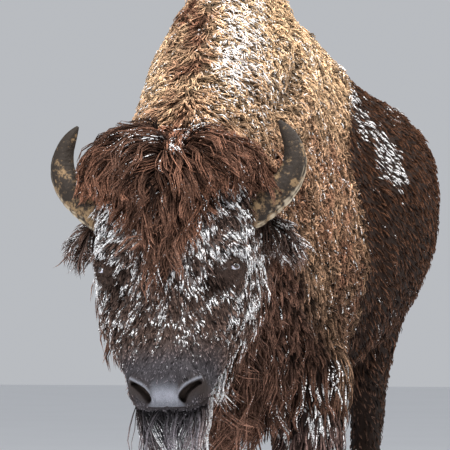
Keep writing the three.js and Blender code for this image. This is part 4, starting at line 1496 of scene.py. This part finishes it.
class BISON_OT_body_coat(bpy.types.Operator):
    """Grow the short coat of barrel, rump and hind legs"""

    bl_idname = "bison.body_coat"
    bl_label = "Body coat"

    def execute(self, context):
        hide = Hide()
        length = context.scene.bison_lengths.body
        for word, side in SIDES.items():
            roots = hide.scatter(
                "barrel", 30 + side, lambda p, m: on_trunk(m) & ~in_cape(p, m) & (mane_share(p) < 0.45)
                & on_side(p, side),
            )
            long = length * mixed(1.0, 1.6, ease(0.95, 0.72, roots.point[:, 2])) * 1.15
            grow(f"coat_barrel_{word}", hide, roots, 32 + side, long)
            roots = hide.scatter(
                "hind_leg", 36 + side, lambda p, m: (m["in_hindleg"] >= 0.5) & on_side(p, side),
            )
            long = length * mixed(0.5, 1.1, ease(0.35, 0.85, roots.point[:, 2]))
            grow(f"coat_hind_leg_{word}", hide, roots, 38 + side, long)
        return {"FINISHED"}


class BISON_OT_foreleg_coat(bpy.types.Operator):
    """Grow the shaggy chaps of the forelegs and the short hair below them"""

    bl_idname = "bison.foreleg_coat"
    bl_label = "Foreleg coat"

    def execute(self, context):
        hide = Hide()
        for word, side in SIDES.items():
            roots = hide.scatter(
                "chaps", 40 + side,
                lambda p, m: (m["in_foreleg"] >= 0.5) & (p[:, 2] > CHAPS_END) & on_side(p, side),
            )
            long = mixed(0.6, 1.15, ease(0.42, 0.56, roots.point[:, 2]))
            grow(f"coat_chaps_{word}", hide, roots, 42 + side, context.scene.bison_lengths.chaps * long)
            roots = hide.scatter(
                "shin", 46 + side,
                lambda p, m: (m["in_foreleg"] >= 0.5) & (p[:, 2] <= SHIN_TOP) & on_side(p, side),
            )
            grow(f"coat_shin_{word}", hide, roots, 48 + side, SHIN_LENGTH)
        return {"FINISHED"}


class BISON_OT_face_coat(bpy.types.Operator):
    """Grow the short hair of face, cheeks and ears"""

    bl_idname = "bison.face_coat"
    bl_label = "Face coat"

    def execute(self, context):
        hide = Hide()
        lengths = context.scene.bison_lengths
        for word, side in SIDES.items():
            roots = hide.scatter(
                "face", 50 + side, lambda p, m: (m["in_ear"] < 0.5) & on_side(to_head(p), side)
                & ((m["in_head"] >= 0.5) | ((m["in_lock"] > 0.2) & (lock_room(to_head(p)) < 0))),
            )
            _, back, depth = face_measures(to_head(roots.point))
            muzzle = ease(0.47, 0.57, depth) * ease(0.08, 0.0, back)
            rear = ease(0.03, 0.13, back)
            near = ease(0.055, 0.024, np.linalg.norm(roots.point - eye_place(word), axis=1))
            shorter = np.interp(depth, (0.30, 0.42, 0.50, 0.58), (1.5, 1.15, 0.7, 0.42))
            long = 1.15 * lengths.face * mixed(shorter, 2.0, rear) * mixed(1.0, 0.32, near)
            wide = COATS["face"].width * mixed(1.0, 0.6, muzzle) * mixed(1.0, 1.4, rear)
            wide = wide * mixed(1.0, 0.6, near)
            grow(f"coat_face_{word}", hide, roots, 52 + side, long, wide)
            roots = hide.scatter(
                "cheek", 57 + side, lambda p, m: (m["in_head"] >= 0.4) & (m["in_ear"] < 0.6) & on_cheek(p)
                & on_side(to_head(p), side),
            )
            local = to_head(roots.point)
            long = lengths.cheek * ease(0.03, 0.13, local[:, 1] + 0.02 * ripple(local, 0.03, 5)) + 0.02
            grow(f"coat_cheek_{word}", hide, roots, 59 + side, long)
        roots = hide.scatter("ears", 55, lambda p, m: m["in_ear"] >= 0.5)
        long = EAR_LENGTH + 0.020 * ease(0.16, 0.26, np.abs(to_head(roots.point)[:, 0]))
        grow("coat_ears", hide, roots, 56, long)
        return {"FINISHED"}


class BISON_OT_forelock(bpy.types.Operator):
    """Grow the mop of long strands that falls from the crown over the forehead"""

    bl_idname = "bison.forelock"
    bl_label = "Forelock"

    def execute(self, context):
        hide = Hide()
        roots = hide.scatter(
            "forelock", 60,
            lambda p, m: (m["in_lock"] >= 0.35) & (lock_room(to_head(p)) > -0.01) & ~on_poll(p),
        )
        local = to_head(roots.point)
        aim = lie_of_forelock(roots.point, roots.normal) @ HEAD_TURN
        long = np.zeros(len(local))
        rag = np.random.default_rng(61).normal(0.008, 0.010, len(local))
        rag = rag + 0.05 * ease(-0.13, -0.05, local[:, 2])
        for share in REACHES:  # no strand runs far past the outline
            reach = context.scene.bison_lengths.forelock * share
            inside = (lock_room(local + aim * reach * 1.1) + rag > 0) | (share < 0.3) | (local[:, 1] > 0.06)
            long = np.where(inside, reach, long)
        grow("coat_forelock", hide, roots, 62, long)
        return {"FINISHED"}


def hanging_length(roots, length, node, margin):
    """A length for each root that keeps its strand from hanging far below a solid."""
    low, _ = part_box(node)
    return np.clip(np.minimum(length, roots.point[:, 2] - low.z + margin), SHORTEST, None)


class BISON_OT_beard(bpy.types.Operator):
    """Grow the stringy beard under the chin"""

    bl_idname = "bison.beard"
    bl_label = "Beard"

    def execute(self, context):
        hide = Hide()
        roots = hide.scatter("beard", 70, under_chin)
        full = np.maximum(ease(-0.44, -0.56, to_head(roots.point)[:, 2]), roots.marks["in_beard"])
        long = context.scene.bison_lengths.beard * mixed(0.35, 1.0, full)
        grow("coat_beard", hide, roots, 72, hanging_length(roots, long, "beard", 0.02))
        return {"FINISHED"}


class BISON_OT_tail_coat(bpy.types.Operator):
    """Grow the tail's short hair and the long switch at its end"""

    bl_idname = "bison.tail_coat"
    bl_label = "Tail coat"

    def execute(self, context):
        hide = Hide()
        grow("coat_tail", hide, hide.scatter("tail", 80, lambda p, m: m["in_tail"] >= 0.5), 82, TAIL_LENGTH)
        roots = hide.scatter("switch", 84, lambda p, m: m["in_switch"] >= 0.4)
        long = hanging_length(roots, context.scene.bison_lengths.switch, "tail_tuft", 0.01)
        grow("coat_tail_switch", hide, roots, 86, long)
        return {"FINISHED"}


# ---------------------------------------------------------------- horns, hooves and eyes

HORN_LEVELS = 3  # of subdivision
HORN_RINGS = 95  # radians of ring from a horn's root to its tip
HOOF_RINGS = 620  # radians of growth ring per metre of height
HOOF_BEVEL = 0.0025
SHARP = 0.6  # an edge of a hoof that turns more than this is rounded
# A dewclaw: how far out, back and up it stands, its turn, and the radii and length of its cone.
DEWCLAW_OUT, DEWCLAW_BACK, DEWCLAW_UP = 0.027, 0.088, 0.132
DEWCLAW_TURN = math.radians(-118)
DEWCLAW_BASE, DEWCLAW_TIP, DEWCLAW_LENGTH = 0.0155, 0.006, 0.046


def rounded_copy(node, levels):
    """A copy of a solid with its triangles paired up and its facets rounded off."""
    bm = node_copy(node)
    bmesh.ops.join_triangles(
        bm, faces=bm.faces, angle_face_threshold=1.2, angle_shape_threshold=1.2,
        cmp_seam=False, cmp_sharp=False, cmp_uvs=False, cmp_vcols=False, cmp_materials=False,
    )
    return with_modifier(mesh_of(bm), "SUBSURF", levels=levels, render_levels=levels)


class BISON_OT_horns(bpy.types.Operator):
    """Build both horns, ringed near the root and worn along the outer rim"""

    bl_idname = "bison.horns"
    bl_label = "Horns"

    def execute(self, context):
        centre = np.array((0.165, 0.0, 0.02))  # a point inside the horn's curve, in the head's own frame
        for word, side in SIDES.items():
            mesh = rounded_copy(f"horn_{word}", HORN_LEVELS)
            co = positions(mesh)
            local = to_head(co) * (side, 1, 1)
            _, along = along_line(local, HORN_LINE)
            rings = np.sin(along * HORN_RINGS + 2.2 * ripple(local, 0.05, 5)) * ease(0.62, 0.25, along)
            flutes = ripple(local * (1, 1, 0.25), 0.009, 6)
            push = 0.0011 * rings + 0.0007 * flutes * ease(0.95, 0.6, along)
            set_positions(mesh, co + normals(mesh) * (push - 0.0005)[:, None])
            facing = unit(normals(mesh) @ HEAD_TURN * (side, 1, 1))
            rim = ease(0.86, 0.99, (unit(local - centre) * facing).sum(1))
            write_marks(mesh, {"along": along, "rim": rim})
            finished(f"horn_{word}_worn", mesh, "Horn", [f"horn_{word}"])
        return {"FINISHED"}


class BISON_OT_hooves(bpy.types.Operator):
    """Build the eight claws with growth rings, and the dewclaws above them"""

    bl_idname = "bison.hooves"
    bl_label = "Hooves"

    def execute(self, context):
        for node in HOOVES:
            bm = node_copy(node)
            rim = [e for e in bm.edges if e.calc_face_angle(0) > SHARP]
            bmesh.ops.bevel(
                bm, geom=rim, affect="EDGES", offset=HOOF_BEVEL, segments=2, profile=0.5, material=-1,
                clamp_overlap=True,
            )
            bmesh.ops.subdivide_edges(bm, edges=bm.edges, cuts=2, use_grid_fill=True)
            mesh = mesh_of(bm)
            co = positions(mesh)
            wall = ease(0.006, 0.014, co[:, 2])
            ring = np.sin(co[:, 2] * HOOF_RINGS + 1.5 * ripple(co, 0.05, 7))
            set_positions(mesh, co - normals(mesh) * (wall * (0.0006 + 0.0005 * ring))[:, None])
            finished(f"{node}_claw", mesh, "Hoof horn", [node])
        for foot in both("fore_hoof", "hind_hoof"):
            self.dewclaws(foot)
        return {"FINISHED"}

    def dewclaws(self, foot):
        """Two short horn cones behind the fetlock, pointing down and back."""
        places = [box_middle(f"{foot}_{claw}") for claw in CLAWS]
        middle = (places[0] + places[1]) / 2
        bm = bmesh.new()
        for side in (-1, 1):
            place = (middle.x + DEWCLAW_OUT * side, middle.y + DEWCLAW_BACK, DEWCLAW_UP)
            turn = Matrix.Rotation(DEWCLAW_TURN, 4, "X") @ Matrix.Diagonal((1, 0.8, 1, 1))
            made = bmesh.ops.create_cone(
                bm, cap_ends=True, segments=16, radius1=DEWCLAW_BASE, radius2=DEWCLAW_TIP,
                depth=DEWCLAW_LENGTH, matrix=Matrix.Translation(place) @ turn,
            )
            rim = {e for v in made["verts"] for e in v.link_edges if e.calc_face_angle(0) > 0.7}
            bmesh.ops.bevel(
                bm, geom=list(rim), affect="EDGES", offset=0.0045, segments=3, profile=0.5, material=-1,
            )
        finished(foot.replace("hoof", "dewclaws"), mesh_of(bm), "Hoof horn")


class BISON_OT_eyes(bpy.types.Operator):
    """Build both eyeballs with iris, level pupil and a painted reflection below"""

    bl_idname = "bison.eyes"
    bl_label = "Eyes"

    def execute(self, context):
        for word, side in SIDES.items():
            out, slit, rise = eye_axes(side)
            turn = Matrix((slit, rise, out)).transposed().to_4x4()
            bm = bmesh.new()
            bmesh.ops.create_uvsphere(bm, u_segments=48, v_segments=32, radius=EYEBALL)
            for vert in bm.verts:  # the cornea stands a little proud
                flat = math.hypot(vert.co.x, vert.co.y)
                vert.co.z += CORNEA * float(ease(0.013, 0.004, flat)) * (vert.co.z > 0)
            bmesh.ops.transform(bm, matrix=Matrix.Translation(eye_place(word)) @ turn, verts=bm.verts)
            bmesh.ops.recalc_face_normals(bm, faces=bm.faces)
            mesh = mesh_of(bm)
            across, up, ahead = eye_bed(positions(mesh), word, side)
            up = up - IRIS_RISE
            ring = np.where(ahead > 0, np.hypot(across, up) / IRIS_EDGE, 2)
            pupil = np.hypot(across / PUPIL[0], up / PUPIL[1])
            write_marks(mesh, {"ring": ring, "level": up / IRIS_EDGE, "pupil": pupil})
            finished(f"eyeball_{word}", mesh, "Eye", [f"eye_{word}"])
        return {"FINISHED"}


# ---------------------------------------------------------------- stage

# Each soft box: name, place, what it shines at, size, power and colour.
LIGHTS = [
    ("key", (1.5, -2.2, 6.0), (0, -0.4, 1.0), 2.8, 640, (1.0, 0.985, 0.96)),
    ("fill", (-3.0, -5.5, 3.0), (0, -0.6, 1.0), 3.5, 240, (0.96, 0.98, 1.0)),
    ("rim", (3.6, 3.4, 4.4), (0, 0, 1.2), 3.0, 260, (1.0, 0.97, 0.93)),
]
SENSOR_WIDTH = 36
FACE_X, FACE_BACK = 0.197, 0.1203  # the camera's aim: from the midline, and behind the CAD box's front


class BISON_OT_stage(bpy.types.Operator):
    """Set up the floor, the soft studio light and the camera"""

    bl_idname = "bison.stage"
    bl_label = "Stage"

    def execute(self, context):
        scene, stage = context.scene, context.scene.bison_stage
        bm = bmesh.new()
        bmesh.ops.create_grid(bm, x_segments=4, y_segments=4, size=stage.floor_size / 2)
        floor = linked("floor", mesh_of(bm))
        floor.data.materials.append(material("Floor"))
        for settings in LIGHTS:
            self.soft_box(*settings)
        scene.world = bpy.data.worlds.new("Studio")
        scene.world.use_nodes = True
        sky = scene.world.node_tree.nodes["Background"]
        sky.inputs["Color"].default_value = (0.88, 0.91, 0.96, 1)
        sky.inputs["Strength"].default_value = 0.55
        scene.view_settings.view_transform = "Standard"
        self.camera(scene, stage)
        return {"FINISHED"}

    def aim(self, thing, place, direction):
        thing.location = place
        thing.rotation_euler = direction.to_track_quat("-Z", "Y").to_euler()

    def soft_box(self, name, place, target, size, power, colour):
        light = bpy.data.lights.new(name, "AREA")
        light.shape = "SQUARE"
        light.size = size
        light.energy = power
        light.color = colour
        self.aim(linked(name, light), place, Vector(target) - Vector(place))

    def camera(self, scene, stage):
        """Aims at the plane of the face from a little to the bull's left, and slightly up."""
        face = Vector((FACE_X, CAD_BOX[0].y + FACE_BACK, stage.eye_height))
        back = Vector((math.sin(stage.azimuth), -math.cos(stage.azimuth), 0))
        data = bpy.data.cameras.new("camera")
        data.sensor_width = SENSOR_WIDTH
        data.lens = SENSOR_WIDTH * stage.distance / stage.view
        data.clip_start, data.clip_end = 0.1, 200
        scene.camera = linked("camera", data)
        upward = Vector((0, 0, math.tan(stage.tilt)))
        self.aim(scene.camera, face + back * stage.distance, upward - back)


# ---------------------------------------------------------------- add-on

OPERATORS = [
    BISON_OT_stage, BISON_OT_skin, BISON_OT_eyes, BISON_OT_horns, BISON_OT_hooves, BISON_OT_cape,
    BISON_OT_mane, BISON_OT_body_coat, BISON_OT_foreleg_coat, BISON_OT_face_coat, BISON_OT_forelock,
    BISON_OT_beard, BISON_OT_tail_coat,
]
SETTINGS = {"bison_lengths": BisonCoatLengths, "bison_colours": BisonColours, "bison_stage": BisonStage}


class BISON_PT_panel(bpy.types.Panel):
    """Lists the bull's sizes, colours and making steps"""

    bl_idname = "BISON_PT_panel"
    bl_label = "Bison bull"
    bl_space_type = "VIEW_3D"
    bl_region_type = "UI"
    bl_category = "Bison"

    def draw(self, context):
        for group in SETTINGS:
            column = self.layout.column()
            for name in SETTINGS[group].__annotations__:
                column.prop(getattr(context.scene, group), name)
        for operator in OPERATORS:
            self.layout.operator(operator.bl_idname)


CLASSES = [*SETTINGS.values(), *OPERATORS, BISON_PT_panel]


def register():
    for made in CLASSES:
        bpy.utils.register_class(made)
    for name, group in SETTINGS.items():
        setattr(bpy.types.Scene, name, PointerProperty(type=group))


def unregister():
    for name in SETTINGS:
        delattr(bpy.types.Scene, name)
    for made in reversed(CLASSES):
        bpy.utils.unregister_class(made)


def main():
    register()
    for operator in OPERATORS:
        group, name = operator.bl_idname.split(".")
        getattr(getattr(bpy.ops, group), name)()


if __name__ == "__main__":
    main()
